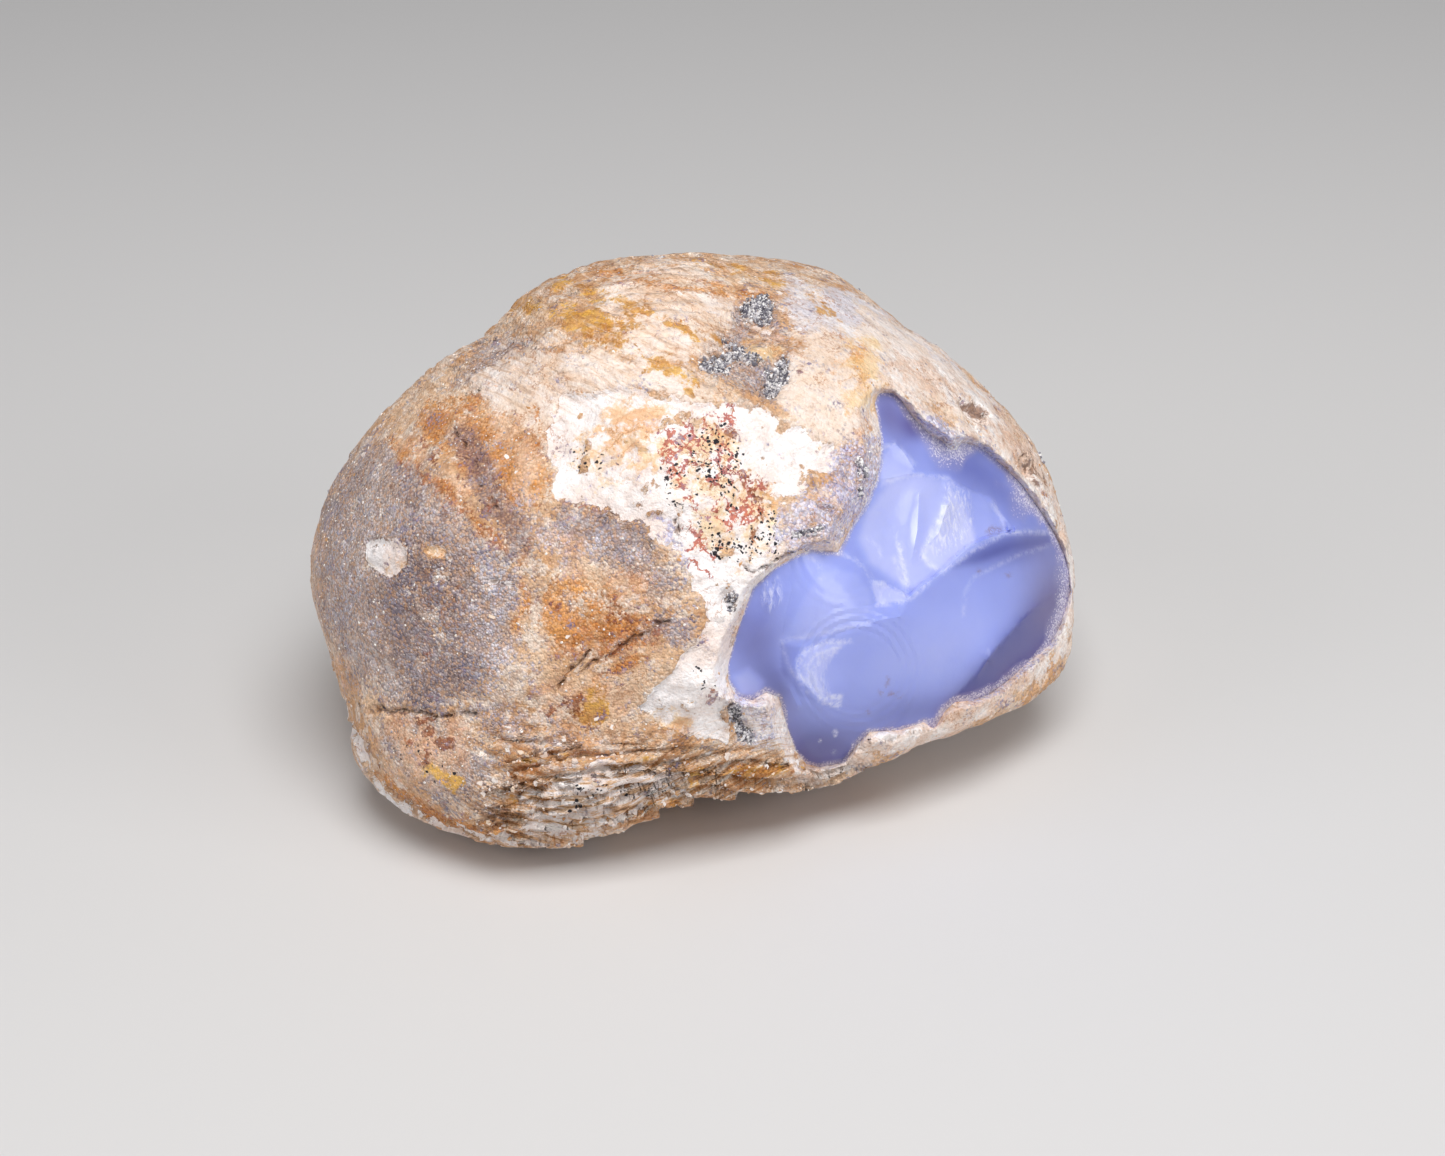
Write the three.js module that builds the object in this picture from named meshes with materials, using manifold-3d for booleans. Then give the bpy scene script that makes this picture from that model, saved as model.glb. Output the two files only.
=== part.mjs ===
// Rough chalcedony nodule: one natural stone with a weathered rind and a broken window.
// Units are millimetres, +Z is up, and the stone rests on the plane z = 0.
//
// The stone is drawn on a sheet that leans back. Along that sheet run `across` (to the right)
// and `up`, and `out` points away from it, to the front. The outline is the widest line of the
// stone on the sheet, and from there the body swells forward and backward to a pole.

import * as THREE from 'three';
import * as BufferGeometryUtils from 'three/addons/utils/BufferGeometryUtils.js';
import Module from 'manifold-3d';

// ---------------------------------------------------------------- driving dimensions

const LEAN = THREE.MathUtils.degToRad(28);

// The middle of the sheet, placed so that the stone's frame has its origin on the plane it
// rests on, under the middle of its box.
const SHEET_MIDDLE = { x: -0.9, y: 2.2, z: 26 };

// The outline, clockwise from the top: [across, up].
const OUTLINE = [
  [1.2, 34.1], [9.1, 33.6], [17.5, 31.7], [26.2, 25.6], [32.8, 20.9], [38.5, 15.5],
  [44.2, 8.3], [46.7, 1.0], [48.1, -5.0], [47.9, -12.0], [46.9, -17.3], [42.0, -21.4],
  [34.7, -24.4], [25.2, -27.6], [17.4, -30.2], [8.8, -31.5], [0.0, -32.4], [-5.5, -34.8],
  [-12.1, -36.9], [-18.6, -37.9], [-26.4, -36.8], [-34.3, -33.4], [-39.5, -28.7],
  [-41.0, -22.8], [-44.0, -14.8], [-46.4, -6.9], [-45.2, 0.9], [-40.6, 9.5],
  [-32.9, 17.9], [-23.5, 24.7], [-19.6, 29.2], [-11.2, 32.7],
];

// The outline does not lie flat on the sheet: its upper part is behind it, its foot is well in
// front of it, and its right end falls back again.
const RIM_SLOPE = -0.18;
const FOOT_SWEEP = 0.011;
const RIGHT_END = { from: 20, sweep: 0.006 };

const FRONT_POLE = { across: -2, up: -2, out: 37.5 };
const BACK_POLE = { across: 1, up: 3, out: -34.5 };
const OVAL = { across: 46, up: 35 };

// How full the body is between the outline and a pole: 2 is an ellipse, and less is leaner.
// The front is leaner towards the right end, where the window is.
const FRONT_FULLNESS = { left: 2.1, right: 1.74, leftEnd: -10, rightEnd: 40 };
const BACK_FULLNESS = { left: 2.3, right: 2.2, leftEnd: -10, rightEnd: 40 };

const STEPS_AROUND = 96;
const FRONT_RINGS = 20;
const BACK_RINGS = 16;

// Swells and hollows: where they are, how far they reach, and how far they stand out.
const FRONT_LUMPS = [
  { name: 'left dome', across: -31, up: -3, wide: 13, high: 13, lift: 3.4 },
  { name: 'ochre brow', across: -14, up: 24, wide: 15, high: 7, lift: 2.4 },
  { name: 'chalk ridge', across: 0, up: 4, wide: 9, high: 10, lift: 1.8 },
  { name: 'chalk foot', across: 2, up: -18, wide: 6, high: 9, lift: 1.4 },
  { name: 'flaky foot', across: -18, up: -31, wide: 16, high: 4, lift: 2.6 },
  { name: 'waist over the foot', across: -12, up: -23, wide: 14, high: 4, lift: -1.6 },
  { name: 'stained valley', across: -20, up: 10, wide: 9, high: 6, lift: -1.8 },
  { name: 'druse hollow', across: 7.5, up: 22, wide: 5, high: 5, lift: -2.6 },
  { name: 'cream shoulder', across: 20, up: 19, wide: 8, high: 8, lift: 1.4 },
  { name: 'hollow by the window foot', across: 12, up: -28, wide: 9, high: 7, lift: -3.5 },
];
const BACK_LUMPS = [
  { name: 'back hump', across: -18, up: 6, wide: 16, high: 14, lift: 3.2 },
  { name: 'back saddle', across: 8, up: 10, wide: 14, high: 18, lift: -2.2 },
  { name: 'back knuckle', across: 26, up: -2, wide: 10, high: 10, lift: 2.6 },
  { name: 'back dent', across: -4, up: 19, wide: 9, high: 6, lift: -1.8 },
  { name: 'belly', across: 2, up: -20, wide: 15, high: 8, lift: 2.4 },
  { name: 'back shelf', across: 18, up: -18, wide: 12, high: 5, lift: 1.8 },
  { name: 'back brow', across: -30, up: -12, wide: 9, high: 9, lift: 1.8 },
];

// The broken window: two faces that meet in a ridge, each let into the skin inside its own
// outline ([across, up], clockwise). From its middle a face falls away by its slopes and
// curves.
const WINDOW_FACES = [
  {
    name: 'lower slab',
    outline: [
      [7.9, -6.6], [10, -5.6], [12.9, -3.8], [17.1, -3.5], [20.6, -6.4], [23.4, -9.3],
      [26.2, -8.4], [29.8, -5.2], [35.6, -1.4], [43.8, -0.6], [58, 0], [58, -20], [44, -36],
      [20, -40], [15, -32], [13.1, -27.7], [11.5, -24.1], [10.4, -19.8], [5.3, -19.9],
      [4.7, -18], [4.9, -15.3],
    ],
    middle: { across: 22, up: -12, out: 28.7 },
    slope: { across: -0.61, up: 0.218 },
    curve: { across: -0.0176, up: -0.0282, twist: -0.0072 },
  },
  {
    name: 'upper hollow',
    outline: [
      [22, 15.4], [25, 14.4], [27.4, 11.4], [30.2, 9.6], [34.8, 9.2], [37.9, 7],
      [42.8, 2], [46, -1.6], [43.8, -1.8], [35.6, -2.8], [29.9, -6.6], [26.4, -9.8],
      [23.2, -10.6], [20.4, -7.6], [17.1, -4.4], [19.2, 0.4], [21.6, 5], [21.7, 11],
    ],
    middle: { across: 31, up: 3, out: 17.9 },
    slope: { across: -0.96, up: -0.211 },
    curve: { across: -0.0123, up: -0.0036, twist: 0.0107 },
  },
];
const CUTTER_FAR_OUT = 62;
const CUTTER_STEPS_AROUND = 64;
const CUTTER_RINGS = 7;

// What is ground away below the plane that the stone rests on.
const GROUND_SIZE = 400;

// ---------------------------------------------------------------- the leaning sheet

const SHEET = new THREE.Matrix4()
  .makeTranslation(SHEET_MIDDLE.x, SHEET_MIDDLE.y, SHEET_MIDDLE.z)
  .multiply(new THREE.Matrix4().makeRotationX(Math.PI / 2 - LEAN));

// From across, up, out to the stone's own frame.
function place(across, up, out) {
  return new THREE.Vector3(across, up, out).applyMatrix4(SHEET);
}

// ---------------------------------------------------------------- meshes to solids and back

const wasm = await Module();
wasm.setup();

function closedMesh(points, triangles) {
  const geometry = new THREE.BufferGeometry();
  const flat = points.flatMap((point) => [point.x, point.y, point.z]);
  geometry.setAttribute('position', new THREE.Float32BufferAttribute(flat, 3));
  geometry.setIndex(triangles.flat());
  return geometry;
}

function toSolid(geometry) {
  const bare = geometry.clone();
  bare.deleteAttribute('normal');
  bare.deleteAttribute('uv');
  const merged = BufferGeometryUtils.mergeVertices(bare, 1e-4);
  return new wasm.Manifold(new wasm.Mesh({
    numProp: 3,
    vertProperties: new Float32Array(merged.attributes.position.array),
    triVerts: new Uint32Array(merged.index.array),
  }));
}

function toGeometry(solid) {
  const mesh = solid.getMesh();
  const geometry = new THREE.BufferGeometry();
  geometry.setAttribute('position', new THREE.BufferAttribute(mesh.vertProperties, 3));
  geometry.setIndex(new THREE.BufferAttribute(mesh.triVerts, 1));
  geometry.computeVertexNormals();
  return geometry;
}

// Closes a stack of rings, each with the same number of points, with a pole at both ends.
function closeRings(firstPole, rings, lastPole) {
  const count = rings[0].length;
  const points = [firstPole, ...rings.flat(), lastPole];
  const last = points.length - 1;
  const triangles = [];
  for (let step = 0; step < count; step += 1) {
    const next = (step + 1) % count;
    triangles.push([0, 1 + step, 1 + next]);
    for (let ring = 0; ring < rings.length - 1; ring += 1) {
      const here = 1 + ring * count;
      const below = here + count;
      triangles.push([here + step, below + step, below + next]);
      triangles.push([here + step, below + next, here + next]);
    }
    const end = 1 + (rings.length - 1) * count;
    triangles.push([last, end + next, end + step]);
  }
  return closedMesh(points, triangles);
}

// ---------------------------------------------------------------- the body

function rimOut(across, up) {
  const foot = FOOT_SWEEP * Math.min(up, 0) ** 2;
  const rightEnd = RIGHT_END.sweep * Math.max(across - RIGHT_END.from, 0) ** 2;
  return RIM_SLOPE * up + foot - rightEnd;
}

function fullnessAt(fullness, across) {
  const share = THREE.MathUtils.smoothstep(across, fullness.leftEnd, fullness.rightEnd);
  return THREE.MathUtils.lerp(fullness.left, fullness.right, share);
}

function outlineCurve(points) {
  const corners = points.map(([across, up]) => new THREE.Vector3(across, up, 0));
  return new THREE.CatmullRomCurve3(corners, true, 'centripetal');
}

function swell(lumps, across, up) {
  return lumps.reduce((sum, lump) => {
    const sideways = (across - lump.across) / lump.wide;
    const upwards = (up - lump.up) / lump.high;
    return sum + lump.lift * Math.exp(-(sideways ** 2) - upwards ** 2);
  }, 0);
}

// The point of a plain oval in the same direction from the pole as a point of the outline.
function ovalPoint(edge, pole) {
  const way = Math.atan2((edge.y - pole.up) / OVAL.up, (edge.x - pole.across) / OVAL.across);
  return {
    x: pole.across + OVAL.across * Math.cos(way),
    y: pole.up + OVAL.up * Math.sin(way),
  };
}

// One ring of the skin. `share` is 0 on the outline and 1 at the pole, and the outline's own
// bends fade into a plain oval on the way.
function skinRing(rim, pole, lumps, fullness, share) {
  const angle = share * Math.PI / 2;
  return rim.map((edge) => {
    const power = 2 / fullnessAt(fullness, edge.x);
    const spread = Math.cos(angle) ** power;
    const reach = Math.sin(angle) ** power;
    const rimShare = pole.out > 0 ? 1 - reach : spread;
    const oval = ovalPoint(edge, pole);
    const across = pole.across + (THREE.MathUtils.lerp(edge.x, oval.x, share) - pole.across) * spread;
    const up = pole.up + (THREE.MathUtils.lerp(edge.y, oval.y, share) - pole.up) * spread;
    const lift = Math.sign(pole.out) * swell(lumps, across, up) * reach;
    return place(across, up, rimOut(edge.x, edge.y) * rimShare + pole.out * reach + lift);
  });
}

function poleTip(pole, lumps) {
  const lift = Math.sign(pole.out) * swell(lumps, pole.across, pole.up);
  return place(pole.across, pole.up, pole.out + lift);
}

function body() {
  // Clockwise on the sheet, so the steps are taken backwards to go round anticlockwise.
  const rim = outlineCurve(OUTLINE).getSpacedPoints(STEPS_AROUND).slice(0, STEPS_AROUND).reverse();
  const rings = [];
  for (let ring = FRONT_RINGS - 1; ring > 0; ring -= 1) {
    rings.push(skinRing(rim, FRONT_POLE, FRONT_LUMPS, FRONT_FULLNESS, ring / FRONT_RINGS));
  }
  for (let ring = 0; ring < BACK_RINGS; ring += 1) {
    rings.push(skinRing(rim, BACK_POLE, BACK_LUMPS, BACK_FULLNESS, ring / BACK_RINGS));
  }
  const front = poleTip(FRONT_POLE, FRONT_LUMPS);
  const back = poleTip(BACK_POLE, BACK_LUMPS);
  return toSolid(closeRings(front, rings, back));
}

// ---------------------------------------------------------------- the broken window

function faceOut({ middle, slope, curve }, across, up) {
  const sideways = across - middle.across;
  const upwards = up - middle.up;
  return middle.out
    + slope.across * sideways
    + slope.up * upwards
    + curve.across * sideways ** 2
    + curve.up * upwards ** 2
    + curve.twist * sideways * upwards;
}

// What is missing in front of a face of the window, from the face to well outside the skin.
function faceCutter(face) {
  const edge = outlineCurve(face.outline).getSpacedPoints(CUTTER_STEPS_AROUND)
    .slice(0, CUTTER_STEPS_AROUND).reverse();
  const middle = edge.reduce((sum, point) => sum.add(point), new THREE.Vector3())
    .divideScalar(edge.length);
  const ringAt = (share, outOf) => edge.map((point) => {
    const across = middle.x + (point.x - middle.x) * share;
    const up = middle.y + (point.y - middle.y) * share;
    return place(across, up, outOf(across, up));
  });
  const onFace = (across, up) => faceOut(face, across, up);
  const rings = [ringAt(1, () => CUTTER_FAR_OUT)];
  for (let ring = CUTTER_RINGS; ring > 0; ring -= 1) {
    rings.push(ringAt(ring / CUTTER_RINGS, onFace));
  }
  const front = place(middle.x, middle.y, CUTTER_FAR_OUT);
  const back = place(middle.x, middle.y, onFace(middle.x, middle.y));
  return toSolid(closeRings(front, rings, back));
}

// ---------------------------------------------------------------- the flat to rest on

function ground() {
  const slab = new THREE.BoxGeometry(GROUND_SIZE, GROUND_SIZE, GROUND_SIZE);
  slab.translate(0, 0, -GROUND_SIZE / 2);
  return toSolid(slab);
}

// ---------------------------------------------------------------- the stone

function nodule() {
  let stone = body();
  for (const face of WINDOW_FACES) {
    stone = stone.subtract(faceCutter(face));
  }
  stone = stone.subtract(ground());
  const material = new THREE.MeshStandardMaterial({
    color: '#c9a98c',
    roughness: 0.8,
    metalness: 0,
  });
  const mesh = new THREE.Mesh(toGeometry(stone), material);
  mesh.name = 'nodule';
  return mesh;
}

const group = new THREE.Group();
group.add(nodule());

export default group;
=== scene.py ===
"""Rough chalcedony nodule: a weathered rind with a broken window of blue chalcedony.

Builds the stone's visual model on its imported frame, in metres, +Z up.

The front of the stone is laid out on a sheet that faces the main camera: `across` runs to the
right, `up` runs up it, and `out` comes off it towards the camera, all in millimetres from its
middle. Patches, ridges and pits are given by their place on that sheet.
"""

import math

import bmesh
import bpy
import numpy as np
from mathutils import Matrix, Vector, geometry, kdtree, noise


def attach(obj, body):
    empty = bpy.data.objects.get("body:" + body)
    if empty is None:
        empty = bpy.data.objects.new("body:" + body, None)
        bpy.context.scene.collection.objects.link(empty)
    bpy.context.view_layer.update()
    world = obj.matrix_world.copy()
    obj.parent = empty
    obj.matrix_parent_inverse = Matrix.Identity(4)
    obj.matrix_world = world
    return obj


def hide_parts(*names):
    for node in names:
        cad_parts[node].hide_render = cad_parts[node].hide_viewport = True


bl_info = {
    "name": "Rough chalcedony nodule",
    "version": (1, 0, 0),
    "blender": (4, 5, 0),
    "location": "View3D > Sidebar > Nodule",
    "description": "Builds a rough chalcedony nodule with a weathered rind and a broken window",
    "category": "Object",
}

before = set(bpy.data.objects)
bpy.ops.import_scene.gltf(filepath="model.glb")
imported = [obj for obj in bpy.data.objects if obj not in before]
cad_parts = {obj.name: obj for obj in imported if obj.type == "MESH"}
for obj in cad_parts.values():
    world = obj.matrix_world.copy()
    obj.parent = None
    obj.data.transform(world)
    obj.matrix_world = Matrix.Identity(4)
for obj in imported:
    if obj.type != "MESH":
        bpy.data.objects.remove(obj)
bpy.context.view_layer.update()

MM = 0.001

# ------------------------------------------------------------------ the facing sheet

# The sheet leans back as the camera looks down. Its middle is where the camera aims.
LEAN = math.radians(28)
ACROSS = np.array([1.0, 0.0, 0.0])
UP = np.array([0.0, math.sin(LEAN), math.cos(LEAN)])
OUT = np.array([0.0, -math.cos(LEAN), math.sin(LEAN)])
STONE_MIDDLE = np.array([-0.9, 2.2, 26.0])
SHEET_MIDDLE = STONE_MIDDLE + 4.04 * ACROSS - 6.63 * UP
CAMERA_DISTANCE = 349.0
LENS_MM = 70.0


def on_sheet(points):
    """Where points, in mm, are seen on the sheet, and how far in front of it they are."""
    offset = points - SHEET_MIDDLE
    out = offset @ OUT
    nearer = 1 - out / CAMERA_DISTANCE
    return offset @ ACROSS / nearer, offset @ UP / nearer, out


def off_sheet(across, up, out):
    """The points, in mm, seen at a place on the sheet and standing that far out from it."""
    nearer = 1 - out / CAMERA_DISTANCE
    sideways = np.multiply.outer(across * nearer, ACROSS)
    upwards = np.multiply.outer(up * nearer, UP)
    return SHEET_MIDDLE + sideways + upwards + np.multiply.outer(out, OUT)


def facing(points, normals):
    """How squarely each point faces the camera: 1 head on, 0 edge on, less than 0 behind."""
    camera = SHEET_MIDDLE + CAMERA_DISTANCE * OUT
    sight = camera - points
    sight /= np.linalg.norm(sight, axis=1)[:, None]
    return np.sum(sight * normals, axis=1)


# ------------------------------------------------------------------ small sums


def smooth_step(low, high, value):
    share = np.clip((value - low) / (high - low), 0.0, 1.0)
    return share * share * (3 - 2 * share)


def cloudy(points, size, depth=4, shift=0.0):
    """Cloudy noise of about -1 to 1 whose largest lumps are `size` mm across."""
    start = Vector((shift, 1.7 * shift, 2.3 * shift))
    return np.array([
        noise.fractal(Vector(point) / size + start, 0.9, 2.1, depth)
        for point in points.tolist()
    ])


def line_distance(across, up, points, closed=False):
    """How far each place on the sheet is from a line of points."""
    ends = points[1:] + points[:1] if closed else points[1:]
    nearest = np.full(len(across), 1e9)
    for (from_across, from_up), (to_across, to_up) in zip(points, ends):
        along = np.array([to_across - from_across, to_up - from_up])
        length = along @ along
        share = ((across - from_across) * along[0] + (up - from_up) * along[1]) / length
        share = np.clip(share, 0.0, 1.0)
        gap = np.hypot(
            across - from_across - share * along[0],
            up - from_up - share * along[1],
        )
        nearest = np.minimum(nearest, gap)
    return nearest


def is_inside(across, up, points):
    """True for each place on the sheet inside a closed line of points."""
    inside = np.zeros(len(across), bool)
    for (one_across, one_up), (two_across, two_up) in zip(points, points[1:] + points[:1]):
        crosses = (one_up > up) != (two_up > up)
        rise = two_up - one_up if two_up != one_up else 1e-9
        meets = one_across + (up - one_up) / rise * (two_across - one_across)
        inside ^= crosses & (across < meets)
    return inside


def patch_share(across, up, kind, reach, fade, points):
    """1 well inside a patch and 0 well outside it; `fade` mm is the width of its edge."""
    gap = line_distance(across, up, points, closed=kind == "area")
    if kind == "area":
        gap = np.where(is_inside(across, up, points), -gap, gap)
    return smooth_step(0.5 * fade, -0.5 * fade, gap - reach)


def linear(colour):
    """The linear colour of an sRGB hex value, with full alpha."""
    levels = [int(colour[place:place + 2], 16) / 255 for place in (1, 3, 5)]
    return tuple(
        level / 12.92 if level <= 0.04045 else ((level + 0.055) / 1.055) ** 2.4
        for level in levels
    ) + (1.0,)


def opaque(colour):
    """A colour of three levels, with full alpha."""
    return (*colour, 1.0)


# ------------------------------------------------------------------ sizes and colours


def tint(name, description, colour):
    """A colour that the panel can change."""
    return bpy.props.FloatVectorProperty(
        name=name, description=description, subtype="COLOR", size=3, min=0.0, max=1.0,
        default=linear(colour)[:3])


def length(name, description, size):
    """A length that the panel can change, given here in mm."""
    return bpy.props.FloatProperty(
        name=name, description=description, unit="LENGTH", min=0.0, precision=5,
        default=size * MM)


def power(name, description, watts):
    """A light's power."""
    return bpy.props.FloatProperty(
        name=name, description=description, unit="POWER", min=0.0, default=watts)


def amount(name, description, count):
    """How many of something there are."""
    return bpy.props.IntProperty(
        name=name, description=description, subtype="UNSIGNED", min=0, default=count)


class NoduleRind(bpy.types.PropertyGroup):
    """The sizes and colours of the weathered rind."""

    lump_height: length("Lumps", "Height of the rind's own lumps", 0.42)
    grit_height: length("Grit", "Height of its coarse grit", 0.26)
    foot_step: length("Steps of the foot", "Height of the broken layers at the foot", 1.5)
    grain_size: length("Grains", "Width of a single sugary grain", 0.3)
    speck_size: length("Specks", "Spacing of the black manganese specks", 0.68)
    bare_light: tint("Bare, light", "Bare rind where it is palest", "#ecccae")
    bare_dark: tint("Bare, dark", "Bare rind where it is brownest", "#d5a579")
    bare_crumb: tint("Bare, crumbs", "Pale crumbs of the bare rind", "#f4e4d6")
    bare_stain: tint("Bare, stains", "Brown stains of the bare rind", "#98683f")
    dust: tint("Dust", "Brown dust in the rind's hollows", "#bb957a")
    speck: tint("Speck", "Black manganese specks", "#1f1b24")


# The rind's coverings: what each is, its palest colour and its darkest one.
RIND_TINTS = {
    "grey": ("Sugary grey quartz", "#ddd0cd", "#877f92"),
    "frost": ("Quartz frost", "#f3eff6", "#b9b3c8"),
    "lilac": ("Quartz sugar by the window", "#fbf8ff", "#aaa6d2"),
    "milk": ("Milky crust", "#f8f3f4", "#dfdbe6"),
    "cream": ("Creamy opal", "#fdf1ea", "#f0d5be"),
    "rust": ("Iron stain", "#f2a646", "#b46420"),
    "peach": ("Thin iron stain", "#f8dcc2", "#e4a068"),
    "crust": ("Crust round the window", "#fffcfb", "#e8c3a9"),
    "gloom": ("Violet shade in the grey", "#b0a0a4", "#62566a"),
    "yellow": ("Yellow ochre", "#f4be46", "#c68320"),
    "chalk": ("Chalky white opal", "#fffafa", "#f3e2da"),
    "stain": ("Stain on the chalk", "#f5dcac", "#ea9c3c"),
    "pink": ("Red iron veins", "#d8683a", "#842044"),
    "ember": ("Red-brown specks", "#c0682c", "#6a3018"),
    "druse": ("Quartz druse", "#f0ecea", "#565256"),
    # The crease tint is brown dirt with painted shade in the creases, crevices and pits, and its light
    # end paints the shadow line along the chalk's broken edge.
    "crease": ("Dirt in the creases", "#8f6248", "#46302a"),
}
for kind, (what, palest, darkest) in RIND_TINTS.items():
    NoduleRind.__annotations__.update({
        kind + "_light": tint(what + ", light", what + " where it is palest", palest),
        kind + "_dark": tint(what + ", dark", what + " where it is darkest", darkest),
    })


class NoduleWindow(bpy.types.PropertyGroup):
    """The sizes and colours of the broken window."""

    frost_size: length("Frost grains", "Width of a grain of the frost along the rim", 0.17)
    rim_crumbs: length("Crumbs of the rim", "How rough the rim's broken wall is", 0.3)
    pale: tint("Pale", "Lit lavender of the thin edges", "#cdd1fb")
    middle: tint("Middle", "Blue of the broad faces", "#9ba7ec")
    deep: tint("Deep", "Deep blue of the thick places", "#4d529c")
    mauve: tint("Mauve", "Greyed violet near the rind", "#716791")
    haze: tint("Haze", "Cloudy edge below the frost", "#a9a4c6")
    # White of the crushed edges, which also paints the highlights along the window's ridges.
    bruise_and_highlight: tint("Bruise", "White of the crushed edges", "#f4f4ff")
    soil: tint("Soil", "Rusty dirt on the faces", "#8a6a62")


class NoduleCrystals(bpy.types.PropertyGroup):
    """How many grains, crystals and chips there are, and how wide the largest is."""

    sugar_count: amount("Sugar grains", "How many loose sugary grains there are", 4200)
    sugar_size: length("Largest grain", "Width of the largest sugary grain", 0.38)
    druse_count: amount("Crystals", "How many quartz crystals there are", 4200)
    druse_size: length("Largest crystal", "Width of the largest quartz crystal", 0.48)
    chip_count: amount("Chips", "How many chips of rind there are", 1500)
    chip_size: length("Largest chip", "Width of the largest chip of rind", 0.9)


class NoduleStage(bpy.types.PropertyGroup):
    """The floor and the light round the stone."""

    floor_colour: tint("Floor", "Colour of the plain floor", "#d9d7d6")
    room_colour: tint("Room", "Colour of the light from all round", "#eceef2")
    room_light: bpy.props.FloatProperty(
        name="Room light", description="Strength of the light from all round",
        default=0.22, min=0.0, subtype="FACTOR")
    key_power: power("Main light", "Power of the soft light above the front", 3.7)
    left_power: power("Left light", "Power of the soft light at the left", 3.2)
    right_power: power("Right light", "Power of the soft light at the right", 4.4)

# ------------------------------------------------------------------ the broken window

# The window's rim and the ridges in it, as (across, up, out) in mm.
WINDOW_RIM = [
    (19.4, 23, 20.4), (21.2, 23, 19.2), (22.2, 22.1, 18.7), (23.5, 20.2, 18), (24.5, 19, 17.6),
    (26.1, 17.6, 16.6), (27.3, 17, 15.8), (28.3, 15.9, 15.2), (29.1, 15.9, 14.6),
    (29.6, 16.8, 14.1), (32, 16.3, 12), (34.8, 14, 9.3), (37.2, 11.6, 7), (39.3, 8.7, 4.2),
    (40.9, 6.2, 1.8), (42.3, 3.5, 0.3), (43, 1, -0.1), (43.2, -1.5, 0.5), (42.7, -3.7, 1.7),
    (42, -5.8, 2.8), (40.7, -8.3, 4.4), (38, -10.4, 7.6), (35.5, -12.7, 9.8),
    (33.2, -14.4, 11.4), (31.1, -15.2, 13.3), (28.9, -15.4, 15), (27.6, -16.6, 15.6),
    (26.3, -18.8, 15.4), (25, -17.9, 16.6), (22, -18.9, 18.2), (18.3, -19.1, 20.3),
    (16.5, -21, 19.2), (15.2, -22.9, 18.2), (12.1, -23.5, 18.2), (10.4, -23.1, 19.4),
    (9.1, -21.4, 21.6), (8, -18.3, 24.6), (7, -14.8, 27.6), (5.4, -14.2, 28.6),
    (3.7, -15.2, 28.8), (1.9, -14.7, 30.2), (0.7, -12.9, 31.6), (0.7, -10.8, 32),
    (1.7, -7.1, 32.8), (2.8, -4, 33.6), (3.8, -1.2, 33.9), (6.5, 1.2, 34), (9.4, 2.9, 33.2),
    (11.1, 3.5, 32.4), (14.3, 3.2, 30.6), (15.7, 5.7, 28.6), (16.8, 7.6, 27.4),
    (18.1, 9.7, 26), (19.2, 12.2, 24.4), (19.6, 14.4, 23.4), (19.7, 17.1, 22.5),
    (19.3, 19.9, 21.6), (18.9, 21.6, 21),
]
WINDOW_OUTLINE = [(across, up) for across, up, _ in WINDOW_RIM]
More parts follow.
